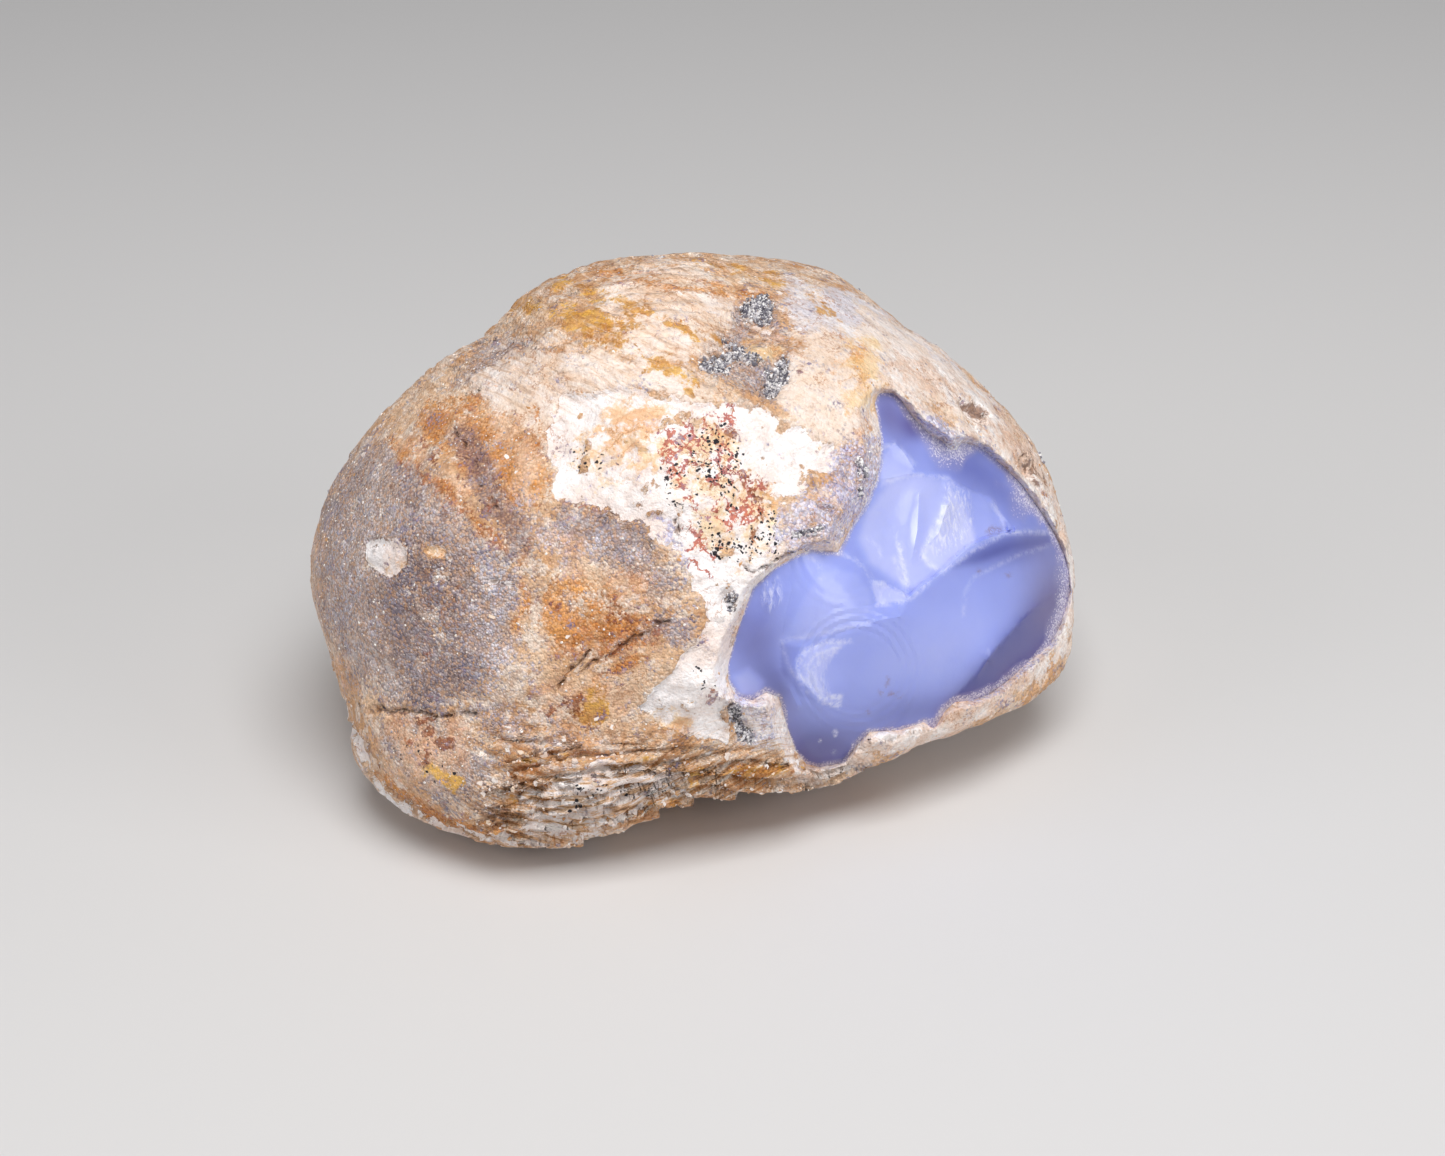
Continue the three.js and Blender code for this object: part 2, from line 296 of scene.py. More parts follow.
WINDOW_RIDGES = {
    "brow of the bowl": [
        (19.2, 12.2, 24.4), (21.2, 12.5, 22.9), (22.7, 12.9, 21.4), (24.2, 13, 20.2),
        (26.8, 12.5, 18), (28.3, 12.3, 16.8), (29.8, 11.6, 15.4), (31.4, 10.7, 13.9),
        (32.6, 9.7, 12.6), (33.5, 8.3, 11.2), (34.5, 7.2, 10.4), (35.5, 5.7, 9.9),
    ],
    "brow of the corner": [
        (19.7, 16.8, 22.6), (21.4, 16.8, 21.6), (22.4, 15.7, 21), (23.3, 14.3, 20.6),
        (24.2, 13, 20.2),
    ],
    "edge of the wall": [(34.3, 8.9, 10.3), (36.2, 5.8, 9.9)],
    "top of the slab": [
        (14.3, 3.2, 30.6), (15.8, 2.5, 29.9), (17.3, 1.5, 29.1), (18.6, -0.4, 28.2),
        (19.1, -2.6, 27.7), (19.7, -3.2, 27.4), (21.2, -3.2, 26.8), (22.7, -2.9, 26.1),
        (24.5, -1.2, 24.8), (26.4, 0, 23.3), (27.6, 1, 22.2), (29.1, 2.6, 20.3),
        (31, 4.1, 17.8), (33.2, 5, 15.1), (34.8, 5.5, 12.8), (36.7, 5.7, 10.3),
        (38.9, 5.8, 6.6), (40.9, 6.2, 1.8),
    ],
    "foot of the bowl": [(18.6, -0.4, 28.2), (20.8, -0.7, 25.9), (22.6, -1.7, 24.9)],
    "foot of the step": [
        (22.9, -2.2, 25.1), (24.4, -0.8, 23.5), (26.2, 0.4, 21.8), (27.3, 1.4, 20.6),
        (28.8, 3, 18.7), (30.8, 4.5, 16), (33, 5.4, 13.2), (34.8, 5.9, 10.9), (36.2, 6.1, 9.8),
    ],
    "groove of the bowl": [(24.4, 10.4, 20.6), (24.2, 6, 21.6), (23.5, 2.2, 22.8)],
    "hook": [
        (27.9, 8.9, 18.6), (26.8, 5.5, 19.9), (25.3, 4, 21), (24.7, 2.5, 21.5),
        (25.9, 1.7, 21.2),
    ],
    "shoulder of the slab": [
        (7.3, -7.8, 31.6), (9.6, -7.8, 31.3), (12.1, -7.7, 30.9), (14.6, -6.8, 30.5),
        (17.1, -6.1, 29.7), (19.6, -5.2, 28.6), (22, -4.8, 27.2),
    ],
    "left fold": [
        (8.4, 2.1, 33.5), (8.6, -1.5, 33.1), (7.8, -4.6, 32.7), (7.3, -7.8, 31.6),
        (7.5, -11.2, 30.6), (8.4, -13.9, 29.3), (9.3, -15.8, 27.9),
    ],
    "crescent": [
        (11.9, -8.3, 30.6), (10.4, -8.9, 30.9), (9.4, -9.8, 31), (9, -11.2, 30.7),
        (9.6, -12.7, 30), (10.9, -13.9, 29), (12.1, -15.2, 27.9),
    ],
    "lower right band": [
        (41.2, -1.5, 4.2), (39.2, -3.5, 8.6), (37, -5.5, 12.2), (34.8, -7.7, 14.7),
        (33.2, -9.8, 16), (31.6, -12.2, 15.6),
    ],
}
# The spacing of the window's points, and of its rim's, in mm. Even rows of points lie closer
# than the points in a row, and stay that share of the spacing clear of the ridges.
WINDOW_STEP = 0.38
RIM_STEP = 0.5
ROW_SHARE = 0.866
CLEAR_SHARE = 0.55

# Dishes between the ridges: (across, up, reach, depth), in mm. A negative depth swells.
WINDOW_DISHES = {
    "bowl": (22.5, 6.5, 5.0, 2.2),
    "bowl, right lobe": (29.0, 7.0, 4.0, 1.2),
    "wall": (31.0, 13.2, 6.0, 1.3),
    "tip": (22.5, 18.5, 3.5, 0.9),
    "corner": (20.6, 14.2, 1.8, 0.3),
    "left lobe": (13.0, -2.4, 5.0, -1.3),
    "left strip": (4.5, -6.5, 3.5, -0.7),
    "slab": (22.0, -10.0, 10.0, -2.0),
    "slab, right end": (37.0, 0.0, 5.0, -1.2),
    "slab foot": (12.0, -19.0, 4.5, -0.8),
    "wedge": (19.9, -1.9, 1.2, 0.25),
}


def walk(points, step):
    """Points at even steps along a line of points, with the line's own corners kept."""
    walked = []
    for one, two in zip(points, points[1:]):
        one, two = np.array(one, float), np.array(two, float)
        count = max(1, round(float(np.hypot(*(two - one)[:2])) / step))
        walked += [tuple(one + (two - one) * share / count) for share in range(count)]
    return walked + [tuple(points[-1])]


def even_field(outline, lines, step):
    """Points in even rows inside an outline, kept clear of the lines."""
    low = np.array(outline).min(0)
    high = np.array(outline).max(0)
    rows = []
    for row in range(int((high[1] - low[1]) / (step * ROW_SHARE)) + 1):
        start = low[0] + (0.5 * step if row % 2 else 0.0)
        along = np.arange(start, high[0], step)
        level = low[1] + row * step * ROW_SHARE
        rows.append(np.stack([along, np.full(len(along), level)], 1))
    spots = np.concatenate(rows)
    spots = spots[is_inside(spots[:, 0], spots[:, 1], outline)]
    tree = kdtree.KDTree(len(lines))
    for index, point in enumerate(lines):
        tree.insert((point[0], point[1], 0.0), index)
    tree.balance()
    clear = [tree.find((spot[0], spot[1], 0.0))[2] > CLEAR_SHARE * step for spot in spots]
    return spots[np.array(clear)]


# How often at most the window's face is eased into place, and how little then still moves.
SETTLE_ROUNDS = 700
SETTLED = 1e-7


def settle(heights, held, pairs, push):
    """Lets the heights that aren't held settle like a skin between the ridges, under a push."""
    free = ~held
    one, two = pairs[:, 0], pairs[:, 1]
    count = len(heights)

    def pull(values):
        gap = values[two] - values[one]
        return np.bincount(one, gap, count) - np.bincount(two, gap, count)

    settled = np.where(held, heights, heights[held].mean())
    rest = np.where(free, pull(settled) - push, 0.0)
    way = rest.copy()
    size = rest @ rest
    for _ in range(SETTLE_ROUNDS):
        drag = np.where(free, -pull(way), 0.0)
        stride = size / max(way @ drag, 1e-12)
        settled = settled + stride * way
        rest = rest - stride * drag
        new_size = rest @ rest
        if new_size < SETTLED:
            break
        way = rest + way * new_size / size
        size = new_size
    return settled


def window_skin():
    """The window's broken face as (points on the sheet, heights, triangles, rim indices)."""
    rim = walk(WINDOW_RIM + WINDOW_RIM[:1], RIM_STEP)[:-1]
    corners = list(rim)
    edges = [(index, (index + 1) % len(rim)) for index in range(len(rim))]
    known = {(round(a, 3), round(b, 3)): index for index, (a, b, _) in enumerate(corners)}
    for ridge in WINDOW_RIDGES.values():
        before = None
        for point in walk(ridge, WINDOW_STEP):
            key = (round(point[0], 3), round(point[1], 3))
            if key not in known:
                known[key] = len(corners)
                corners.append(point)
            if before is not None and before != known[key]:
                edges.append((before, known[key]))
            before = known[key]
    outline = [(a, b) for a, b, _ in rim]
    inner = even_field(outline, corners, WINDOW_STEP)
    flat = [Vector((a, b)) for a, b, _ in corners] + [Vector(spot) for spot in inner.tolist()]
    face = [list(range(len(rim)))]
    spots, _, triangles, sources, _, _ = geometry.delaunay_2d_cdt(flat, edges, face, 1, 1e-5)
    heights = np.zeros(len(spots))
    held = np.zeros(len(spots), bool)
    rim_at = {}
    for index, source in enumerate(sources):
        for origin in source:
            if origin < len(corners):
                heights[index] = corners[origin][2]
                held[index] = True
            if origin < len(rim):
                rim_at[origin] = index
    spots = np.array([tuple(spot) for spot in spots])
    triangles = np.array([tuple(triangle) for triangle in triangles])
    pairs = np.unique(np.sort(np.concatenate(
        [triangles[:, [0, 1]], triangles[:, [1, 2]], triangles[:, [2, 0]]]), axis=1), axis=0)
    push = np.zeros(len(spots))
    for across, up, reach, depth in WINDOW_DISHES.values():
        away = np.hypot(spots[:, 0] - across, spots[:, 1] - up) / reach
        push += 4 * depth / reach ** 2 * np.exp(-away ** 2)
    heights = settle(heights, held, pairs, 1.5 * WINDOW_STEP ** 2 * push)
    return spots, heights, triangles, [rim_at[index] for index in range(len(rim))]


# ------------------------------------------------------------------ making pieces


def pick(*objects):
    """Selects only these objects; the last one becomes the active one."""
    pick_none()
    for item in objects:
        item.select_set(True)
    bpy.context.view_layer.objects.active = objects[-1]


def pick_none():
    bpy.ops.object.select_all(action="DESELECT")


def new_piece(name, mesh):
    piece = bpy.data.objects.new(name, mesh)
    bpy.context.scene.collection.objects.link(piece)
    pick(piece)
    return piece


def read_points(mesh):
    """The mesh's points in mm."""
    flat = np.zeros(len(mesh.vertices) * 3)
    mesh.vertices.foreach_get("co", flat)
    return flat.reshape(-1, 3) / MM


def read_normals(mesh):
    flat = np.zeros(len(mesh.vertices) * 3)
    mesh.vertex_normals.foreach_get("vector", flat)
    return flat.reshape(-1, 3)


def write_points(mesh, points):
    mesh.vertices.foreach_set("co", (points * MM).ravel())
    mesh.update()


def read_share(mesh, name):
    """The number that each point keeps under that name."""
    values = np.zeros(len(mesh.vertices), np.float32)
    mesh.attributes[name].data.foreach_get("value", values)
    return values.astype(float)


def write_share(mesh, name, values):
    """Keeps one number for each point, for the materials to read."""
    layer = mesh.attributes.new(name, "FLOAT", "POINT")
    layer.data.foreach_set("value", values.astype(np.float32))


RIND_SLOT = 0
WINDOW_SLOT = 1

# The wall round the window: how far it stands out from the rim, and how far it opens, in mm.
# Above PLAIN_WALL it is outside the stone and has no crumbs.
WALL_STEPS = [(0.6, 0.25), (1.2, 0.55), (2.1, 1.0), (3.2, 1.5), (4.8, 2.1), (7.0, 2.8), (16.0, 3.6)]
PLAIN_WALL = 7.0


def loosened(outline, reach):
    """A closed line with its bends eased, so that its offset doesn't cross itself."""
    eased = np.array(outline)
    for _ in range(reach):
        eased = 0.5 * eased + 0.25 * (np.roll(eased, 1, 0) + np.roll(eased, -1, 0))
    return eased


def window_cutter(crumb):
    """What is missing in front of the window's broken face, as one closed solid."""
    spots, heights, triangles, rim = window_skin()
    heights = heights + window_ripples(spots)
    work = bmesh.new()
    skin = [work.verts.new(point * MM) for point in off_sheet(spots[:, 0], spots[:, 1], heights)]
    for triangle in triangles:
        work.faces.new([skin[corner] for corner in triangle]).material_index = WINDOW_SLOT
    rim_spots = spots[rim]
    below = [skin[index] for index in rim]
    for stand, opening in WALL_STEPS:
        outline = loosened(rim_spots, 2 + int(6 * opening))
        along = np.roll(outline, -1, 0) - np.roll(outline, 1, 0)
        along /= np.linalg.norm(along, axis=1)[:, None]
        outward = np.stack([-along[:, 1], along[:, 0]], 1)
        ring = outline + opening * outward
        level = loosened(heights[rim][:, None], 20)[:, 0] + stand
        if stand < PLAIN_WALL:
            crumbs = np.column_stack([ring, level])
            level = level + crumb * cloudy(crumbs, 1.6, 3)
            ring = ring + crumb * cloudy(crumbs, 1.3, 3, 6.0)[:, None] * outward
        above = [work.verts.new(point * MM) for point in off_sheet(ring[:, 0], ring[:, 1], level)]
        for index in range(len(rim)):
            after = (index + 1) % len(rim)
            face = work.faces.new([below[index], below[after], above[after], above[index]])
            face.material_index = RIND_SLOT
        below = above
    work.faces.new(below).material_index = RIND_SLOT
    mesh = bpy.data.meshes.new("window_cutter")
    work.to_mesh(mesh)
    work.free()
    cutter = new_piece("window_cutter", mesh)
    bpy.ops.object.mode_set(mode="EDIT")
    bpy.ops.mesh.select_all(action="SELECT")
    bpy.ops.mesh.quads_convert_to_tris()
    bpy.ops.mesh.normals_make_consistent(inside=False)
    bpy.ops.object.mode_set(mode="OBJECT")
    return cutter


# Rough torn patches in the window: (area or line, reach, fade, depth, points), in mm.
HACKLES = {
    "right lobe of the bowl": ("area", 0.0, 1.2, 0.32, [
        (27.6, 12), (30.4, 10.6), (31.2, 7), (30, 4.6), (26.6, 2.6), (25.8, 4.6), (27.4, 8)]),
    "torn crescent": ("area", 0.0, 0.5, 0.14, [
        (14.8, -8.2), (11.4, -9.2), (10.2, -10.8), (10.4, -12.2), (12.2, -14.2), (13.6, -14.8),
        (12.6, -12.4), (13.4, -10.2)]),
    "chips at the left": ("area", 0.0, 1.0, 0.2, [
        (4.8, -0.4), (7, 0.2), (7.4, -2.6), (6, -4.2), (4.8, -3)]),
    "streak of the bowl": ("line", 0.5, 0.8, 0.12, [(21.6, 5.6), (22.4, 1.5), (23, -1.2)]),
    "wedge": ("line", 0.6, 0.6, 0.12, [(19.6, -1), (20.4, -2.6)]),
}
# Ripples round a blow: (across, up, from, to, depth, pitch), in mm.
SHELL_RIPPLES = [
    (16.8, -11.4, 4.0, 9.0, 0.07, 1.05),
    (15.5, 3.5, 4.0, 8.5, 0.03, 1.3),
    (24.0, -6.0, 9.5, 14.0, 0.02, 1.9),
]


def window_ripples(spots):
    """The fine waves and hackles that the break left on the window's faces."""
    across, up = spots[:, 0], spots[:, 1]
    flat = np.stack([across, up, np.zeros(len(across))], 1)
    waves = 0.05 * cloudy(flat, 3.0, 2)
    streaky = np.stack([1.6 * across + 0.5 * up, 0.35 * up, np.zeros(len(across))], 1)
    for kind, reach, fade, depth, points in HACKLES.values():
        share = patch_share(across, up, kind, reach, fade, points)
        waves += depth * share * np.abs(cloudy(streaky, 0.9, 3))
    for middle_across, middle_up, near, far, depth, pitch in SHELL_RIPPLES:
        away = np.hypot(across - middle_across, up - middle_up)
        share = smooth_step(near, near + 1.0, away) * smooth_step(far, far - 1.5, away)
        waves += depth * share * np.sin(2 * math.pi * away / pitch)
    return waves


# The spacing of the skin's points, in mm, before it is made finer where the camera sees it.
SKIN_STEP = 0.84


def stone_skin():
    """A copy of the CAD stone with an even, finer mesh, finest where the camera sees it.

    What the window takes away stays coarse.
    """
    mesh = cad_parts["nodule"].data.copy()
    mesh.materials.clear()
    stone = new_piece("nodule_stone", mesh)
    bpy.ops.object.mode_set(mode="EDIT")
    bpy.ops.mesh.select_all(action="SELECT")
    bpy.ops.mesh.remove_doubles(threshold=1e-6)
    bpy.ops.object.mode_set(mode="OBJECT")
    remesh = stone.modifiers.new("even skin", "REMESH")
    remesh.mode = "VOXEL"
    remesh.voxel_size = SKIN_STEP * MM
    bpy.ops.object.modifier_apply(modifier=remesh.name)
    bpy.ops.object.mode_set(mode="EDIT")
    bpy.ops.mesh.select_all(action="DESELECT")
    bpy.ops.mesh.select_mode(type="FACE")
    bpy.ops.object.mode_set(mode="OBJECT")
    middles = np.array([polygon.center for polygon in stone.data.polygons]) / MM
    normals = np.array([polygon.normal for polygon in stone.data.polygons])
    seen = facing(middles, normals) > 0.0
    across, up, _ = on_sheet(middles)
    deep_inside = is_inside(across, up, WINDOW_OUTLINE)
    deep_inside &= line_distance(across, up, WINDOW_OUTLINE, True) > 2
    stone.data.polygons.foreach_set("select", seen & ~deep_inside)
    bpy.ops.object.mode_set(mode="EDIT")
    bpy.ops.mesh.subdivide(number_cuts=1, smoothness=0.0)
    bpy.ops.object.mode_set(mode="OBJECT")
    return stone


def cut_window(stone, look):
    """Cuts the window out of the stone and keeps its own material on the broken face."""
    cutter = window_cutter(look.rim_crumbs / MM)
    cutter.data.materials.append(bpy.data.materials.new("rind_place"))
    cutter.data.materials.append(bpy.data.materials.new("window_place"))
    stone.data.materials.append(cutter.data.materials[0])
    stone.data.materials.append(cutter.data.materials[1])
    pick(stone)
    cut = stone.modifiers.new("window", "BOOLEAN")
    cut.operation = "DIFFERENCE"
    cut.solver = "MANIFOLD"
    cut.object = cutter
    before = len(stone.data.vertices)
    bpy.ops.object.modifier_apply(modifier=cut.name)
    if len(stone.data.vertices) == before:
        raise RuntimeError("the window wasn't cut")
    bpy.data.objects.remove(cutter)


# ------------------------------------------------------------------ the weathered rind

# Patches of the rind on the facing sheet, by the kind of their covering: an area or a line, its
# reach beyond its points, the width of its soft edge, and its points, in mm.
PATCHES = {}
PATCHES["grey"] = {
    "left dome": ("area", 0, 3.7, [
        (-51, 2.2), (-49.8, 9.7), (-46.9, 14.4), (-43.2, 16.5), (-39.4, 15.3), (-35.1, 10.9),
        (-31.4, 7.2), (-27, 2.2), (-25.8, -2.7), (-27.6, -8.9), (-31.4, -13.9), (-36.3, -15.8),
        (-40.7, -15.2), (-45, -12.7), (-48.1, -7.7), (-50.2, -4)]),
    "lower left chunk": ("area", -2.0, 3.4, [
        (-44.8, -17), (-40.1, -15.8), (-33.9, -16.6), (-28.9, -18.9), (-27, -22.6), (-27.6, -27.6),
        (-31.4, -29.4), (-36.3, -28.6), (-40.7, -25.7), (-43.5, -21.4)]),
    "sugary valley": ("area", 0, 3.0, [
        (-20.2, 8.4), (-15.2, 7.8), (-9.6, 6), (-7.6, 3.2), (-9.3, 0.6), (-14.7, 2.0), (-17.1, 3.4),
        (-20.2, 4.2), (-21.7, 5.3)]),
    "sugary slope": ("line", 1.0, 2.4, [(-12.7, -8.6), (-7.8, -6.0), (-5, -6.6)]),
    "upper left shoulder": ("area", 0, 2, [
        (-33.2, 24.6), (-30.1, 28.9), (-26.4, 30.2), (-22, 28.1), (-25.2, 24.6), (-28.9, 22.7)]),
    "valley mist": ("line", 1.8, 3.6, [(-14.8, 5.2), (-11.4, 2.6), (-8.6, -0.6)]),
    "foot grey": ("line", 0.7, 1.6, [(-19, -25.8), (-13.6, -26.2), (-8.4, -25.6)]),
    "hollow": ("area", 0, 1.2, [
        (1.6, 33.9), (6.5, 34.3), (7.1, 30.8), (9, 27.1), (8.4, 24), (5.9, 21.9), (1.6, 24),
        (-2.2, 25.6), (-2.8, 28.1), (-0.1, 30.2)]),
}
# Violet grey over the dome's middle, and painted shade in the groove of the sweep, the pocket in the
# valley, the cleft beside the streak and under the toe.
PATCHES["gloom"] = {
    "dome middle": ("area", 0, 3.4, [
        (-40, 5), (-35.5, 8), (-32, 2), (-31, -6), (-33, -14), (-38, -15.5), (-41, -10), (-42, -3)]),
    "groove in the sweep": ("line", 1.7, 1.0, [
        (-32.6, 17.6), (-30.6, 14.4), (-29.2, 11), (-26.6, 7.6), (-24.6, 4.4)]),
    "pocket in the valley": ("line", 0.3, 0.4, [(-15.2, 7.0), (-14.2, 7.0)]),
    "cleft beside the streak": ("line", 0.1, 0.6, [(-23.4, 2.6), (-22.8, -0.6), (-23.6, -3)]),
    "toe shade": ("line", 1.2, 2.4, [(-33, -27), (-28, -29), (-26, -26.5)]),
}
PATCHES["frost"] = {
    "pale slope": ("area", -0.6, 4.4, [
        (-30.8, 1.6), (-26, 1.0), (-24.5, -4), (-25.2, -8.9), (-27, -14.6), (-30.6, -13),
        (-31.4, -7.7)]),
    "left face of the dome": ("area", -1.4, 6.0, [
        (-50, 4), (-46, 11), (-43.4, 8), (-44.6, 0), (-45, -9), (-48.6, -6)]),
    "valley": ("area", -0.7, 3.6, [(-20, 7), (-12, 5.6), (-7.6, 2.6), (-9, 0.6), (-20, 4.4)]),
    "valley sparkle": ("line", 0.6, 3.4, [(-24, 10), (-22, 6), (-19, 3.4)]),
    "lower drift": ("area", 0, 3.0, [
        (-31.4, -15.8), (-25.2, -16.6), (-20.2, -18.9), (-15.2, -20.7), (-18.9, -22), (-23.9, -20.7),
        (-28.9, -18.9)]),
}
PATCHES["rust"] = {
    "orange sweep": ("area", 0, 1.5, [
        (-37, 22.7), (-31.4, 23.1), (-25.8, 20.2), (-22, 16.5), (-21.2, 12.2), (-21.7, 8.2),
        (-25.2, 6.6), (-27.6, 9.7), (-31.4, 11.6), (-35.1, 15.3), (-38.2, 18.4)]),
    "orange tongue": ("line", 1, 1.2, [
        (-41.1, 17.1), (-37, 12.8), (-33.2, 9.7), (-29.5, 6), (-27, 3.7)]),
    "brown field": ("area", 0, 1.7, [
        (-22, 0.4), (-17.1, 1), (-12.7, -1.2), (-9, -4.2), (-6.8, -7.7), (-10.2, -9.6), (-15.2, -10.8),
        (-18.9, -10.2), (-22, -7.7), (-23.3, -3.4)]),
    "brown streak": ("line", 0.6, 0.7, [(-23.9, 5.3), (-25.2, 1), (-24.5, -2.7), (-25.8, -7.7)]),
    "red speckle": ("line", -0.6, 3, [(-38, -4), (-36.5, -9), (-36.5, -15)]),
    "edge of the tongue": ("line", 0.2, 0.7, [
        (-40.6, 16.8), (-37.8, 14.6), (-34.4, 11.4), (-31, 8.4), (-28.6, 9.4)]),
    "crown stain": ("line", 0.9, 1.5, [(-15.2, 38), (-7.8, 36.4), (-0.3, 35.5), (5.9, 34.5)]),
    "window shoulder": ("line", 1, 1.1, [(16.8, 28.3), (17.7, 24.6), (18.6, 22.1), (18.1, 18.4)]),
    "right rim stain": ("line", 0.6, 0.9, [
        (30.1, 21.5), (32.6, 19), (35.7, 16.5), (38.8, 12.8), (40.1, 9.7)]),
    "foot stain": ("line", 0.7, 1, [(-2.8, -24.5), (2.2, -23.9), (8.4, -23.6)]),
    "toe stain": ("line", 0.9, 1.1, [(-43.2, -23.9), (-38.8, -28.2), (-33.9, -30.3), (-27.6, -31.6)]),
    "lower crease stain": ("line", 0.7, 1.1, [(-10.2, -9.6), (-15.2, -12.7), (-18.3, -15.2)]),
    "long vein": ("line", 0.1, 0.2, [(-17.9, 18.3), (-12, 15.8), (-6.9, 13.2)]),
    "crest vein": ("line", 0.15, 0.3, [(-33, 24.6), (-27, 23.4), (-22, 24.2), (-15, 22)]),
    "ledge stain": ("line", 0.3, 0.6, [
        (-23.4, 21.6), (-22.4, 17.3), (-21.9, 12.9), (-19.4, 9.2), (-14.8, 8)]),
}
PATCHES["peach"] = {
    "inside the sweep": ("area", 0, 2.2, [
        (-30, 21.6), (-24.5, 19.6), (-22.8, 15.5), (-22.6, 9.8), (-25, 9.2), (-26.4, 13.5), (-29, 18)]),
    "inside the tongue": ("line", 0.9, 1.6, [(-39, 16.6), (-35.6, 13.6), (-32.4, 11)]),
    "field by the chalk": ("line", 1.4, 3.0, [(-20.4, 5.6), (-17.4, 1.8), (-9.6, -1.2)]),
    "below the crease": ("area", 0, 3.0, [
        (-22.5, -13), (-17, -13.4), (-12.4, -11.4), (-9.4, -11.2), (-12, -14.6), (-18, -17.6),
        (-23.6, -17.4)]),
    "chunk": ("area", 0, 3.6, [
        (-44, -17.6), (-37, -17), (-32, -19), (-31, -24), (-36, -27), (-41, -23.6)]),
    "left edge": ("line", 0.6, 3.4, [(-51, 5), (-50, -6), (-46.4, -13.6)]),
    "waist": ("line", 1.0, 2.0, [(-15.4, -13.6), (-13.8, -16.4)]),
    "hollow, tan": ("area", 0, 1.4, [(3.0, 30.6), (6.6, 31.0), (8.0, 28.2), (4.6, 26.6)]),
    "top of the knob": ("line", 0.5, 1.4, [(8.2, 8.6), (11, 10.4), (13.4, 10.4)]),
}
PATCHES["ember"] = {
    "specks of the dome": ("line", -1.2, 4.4, [(-38.6, -3), (-37, -8), (-36.6, -14)]),
    "spot of the chunk": ("line", 0.7, 0.3, [(-37.4, -17.6), (-36.3, -17.4)]),
    "spot at the left": ("line", 0.6, 0.3, [(-38.8, -20.2), (-38.5, -20.3)]),
    "spot above the middle": ("line", 0.6, 0.3, [(-36.7, -19.2), (-36.3, -18.9)]),
    "spot at the right": ("line", 0.7, 0.3, [(-34.8, -20.5), (-34.1, -20.3)]),
    "spot below": ("line", 0.6, 0.3, [(-37.2, -22.3), (-36.8, -22.8)]),
    "edge of the sweep": ("line", 0.1, 1.2, [(-27.6, 8.6), (-31, 10.6), (-34.8, 14), (-38.4, 17.6)]),
    "ledge by the chalk": ("line", 0.0, 1.0, [(-6.8, -7.7), (-10.2, -9.2), (-14.6, -12)]),
    "waist": ("line", 0.0, 1.6, [(-19.4, -15.4), (-21.6, -16.6), (-24, -16.2)]),
    "in the blush": ("line", 0.2, 2.0, [(0.4, 17.4), (2.4, 13), (4.6, 9.6), (4, 5)]),
    "low in the blush": ("line", 0.0, 1.4, [(-0.8, -12.4), (-1.4, -14.8)]),
    "hollow, orange": ("line", 0.0, 1.2, [(2.4, 28.4), (4.6, 29.2), (6.4, 28.4)]),
    "core of the brown field": ("line", 0.4, 4.6, [(-20.6, -1.6), (-16, -4.4), (-12.6, -5)]),
    "grains of the waist": ("line", 0.2, 2.0, [(-17.4, -14.6), (-18.6, -17.6)]),
}
PATCHES["yellow"] = {
    "eye of the low chalk": ("line", 1.0, 0.6, [(-1.6, -11.4), (-2.6, -14.4), (-4.4, -15)]),
    "brow stream": ("line", 1.1, 1.2, [
        (-25.2, 34.5), (-18.9, 31.4), (-12.7, 28.9), (-7.1, 26.5), (-4, 24)]),
    "brow stream above": ("line", 0.9, 1.1, [(-20.2, 36.4), (-12.7, 34.5), (-5.3, 30.8), (-0.3, 28.9)]),
    "brow pool": ("area", 0, 1.7, [
        (-20.2, 34.5), (-12.7, 33.9), (-9, 31.4), (-12.7, 28.9), (-17.7, 30.2), (-21.4, 32)]),
    "crown stream": ("line", 0.7, 1, [(-2.8, 39.3), (4.7, 37.6), (9.6, 35.8), (13.4, 33.3)]),
    "ear": ("line", 0.6, 0.7, [(3.4, 7.2), (4.4, 5.3), (3.7, 3.5)]),
    "chalk spot": ("line", 0.4, 0.5, [(-18.7, 14.4), (-17.5, 13.9)]),
    "lower left spots": ("line", 0.8, 0.8, [(-36.6, -23.8), (-34.6, -24.9), (-32.6, -25.4)]),
    "orange button": ("line", 0.5, 0.5, [(-24.4, -22.6), (-23.7, -22.6)]),
    "waist": ("area", -0.4, 2.4, [
        (-17.1, -12.7), (-14, -13.9), (-12.7, -17), (-15.2, -20.1), (-18.3, -18.3), (-18.9, -15.2)]),
    "foot band": ("line", 1, 0.9, [(-4, -24.8), (0.9, -24.1), (5.9, -23.6), (9.6, -23.9)]),
    "chalk foot eye": ("line", 0.5, 0.5, [(-2.5, -12.9), (-2, -13.9)]),
    "foot ochre": ("line", 0.9, 1.0, [
        (-26.4, -27.8), (-22.4, -28.2), (-19.4, -30), (-12.4, -28.8), (-6, -28.4)]),
    "foot ochre above": ("line", 0.6, 0.9, [(-21.6, -21.9), (-15.4, -22.8), (-9, -22.4)]),
}
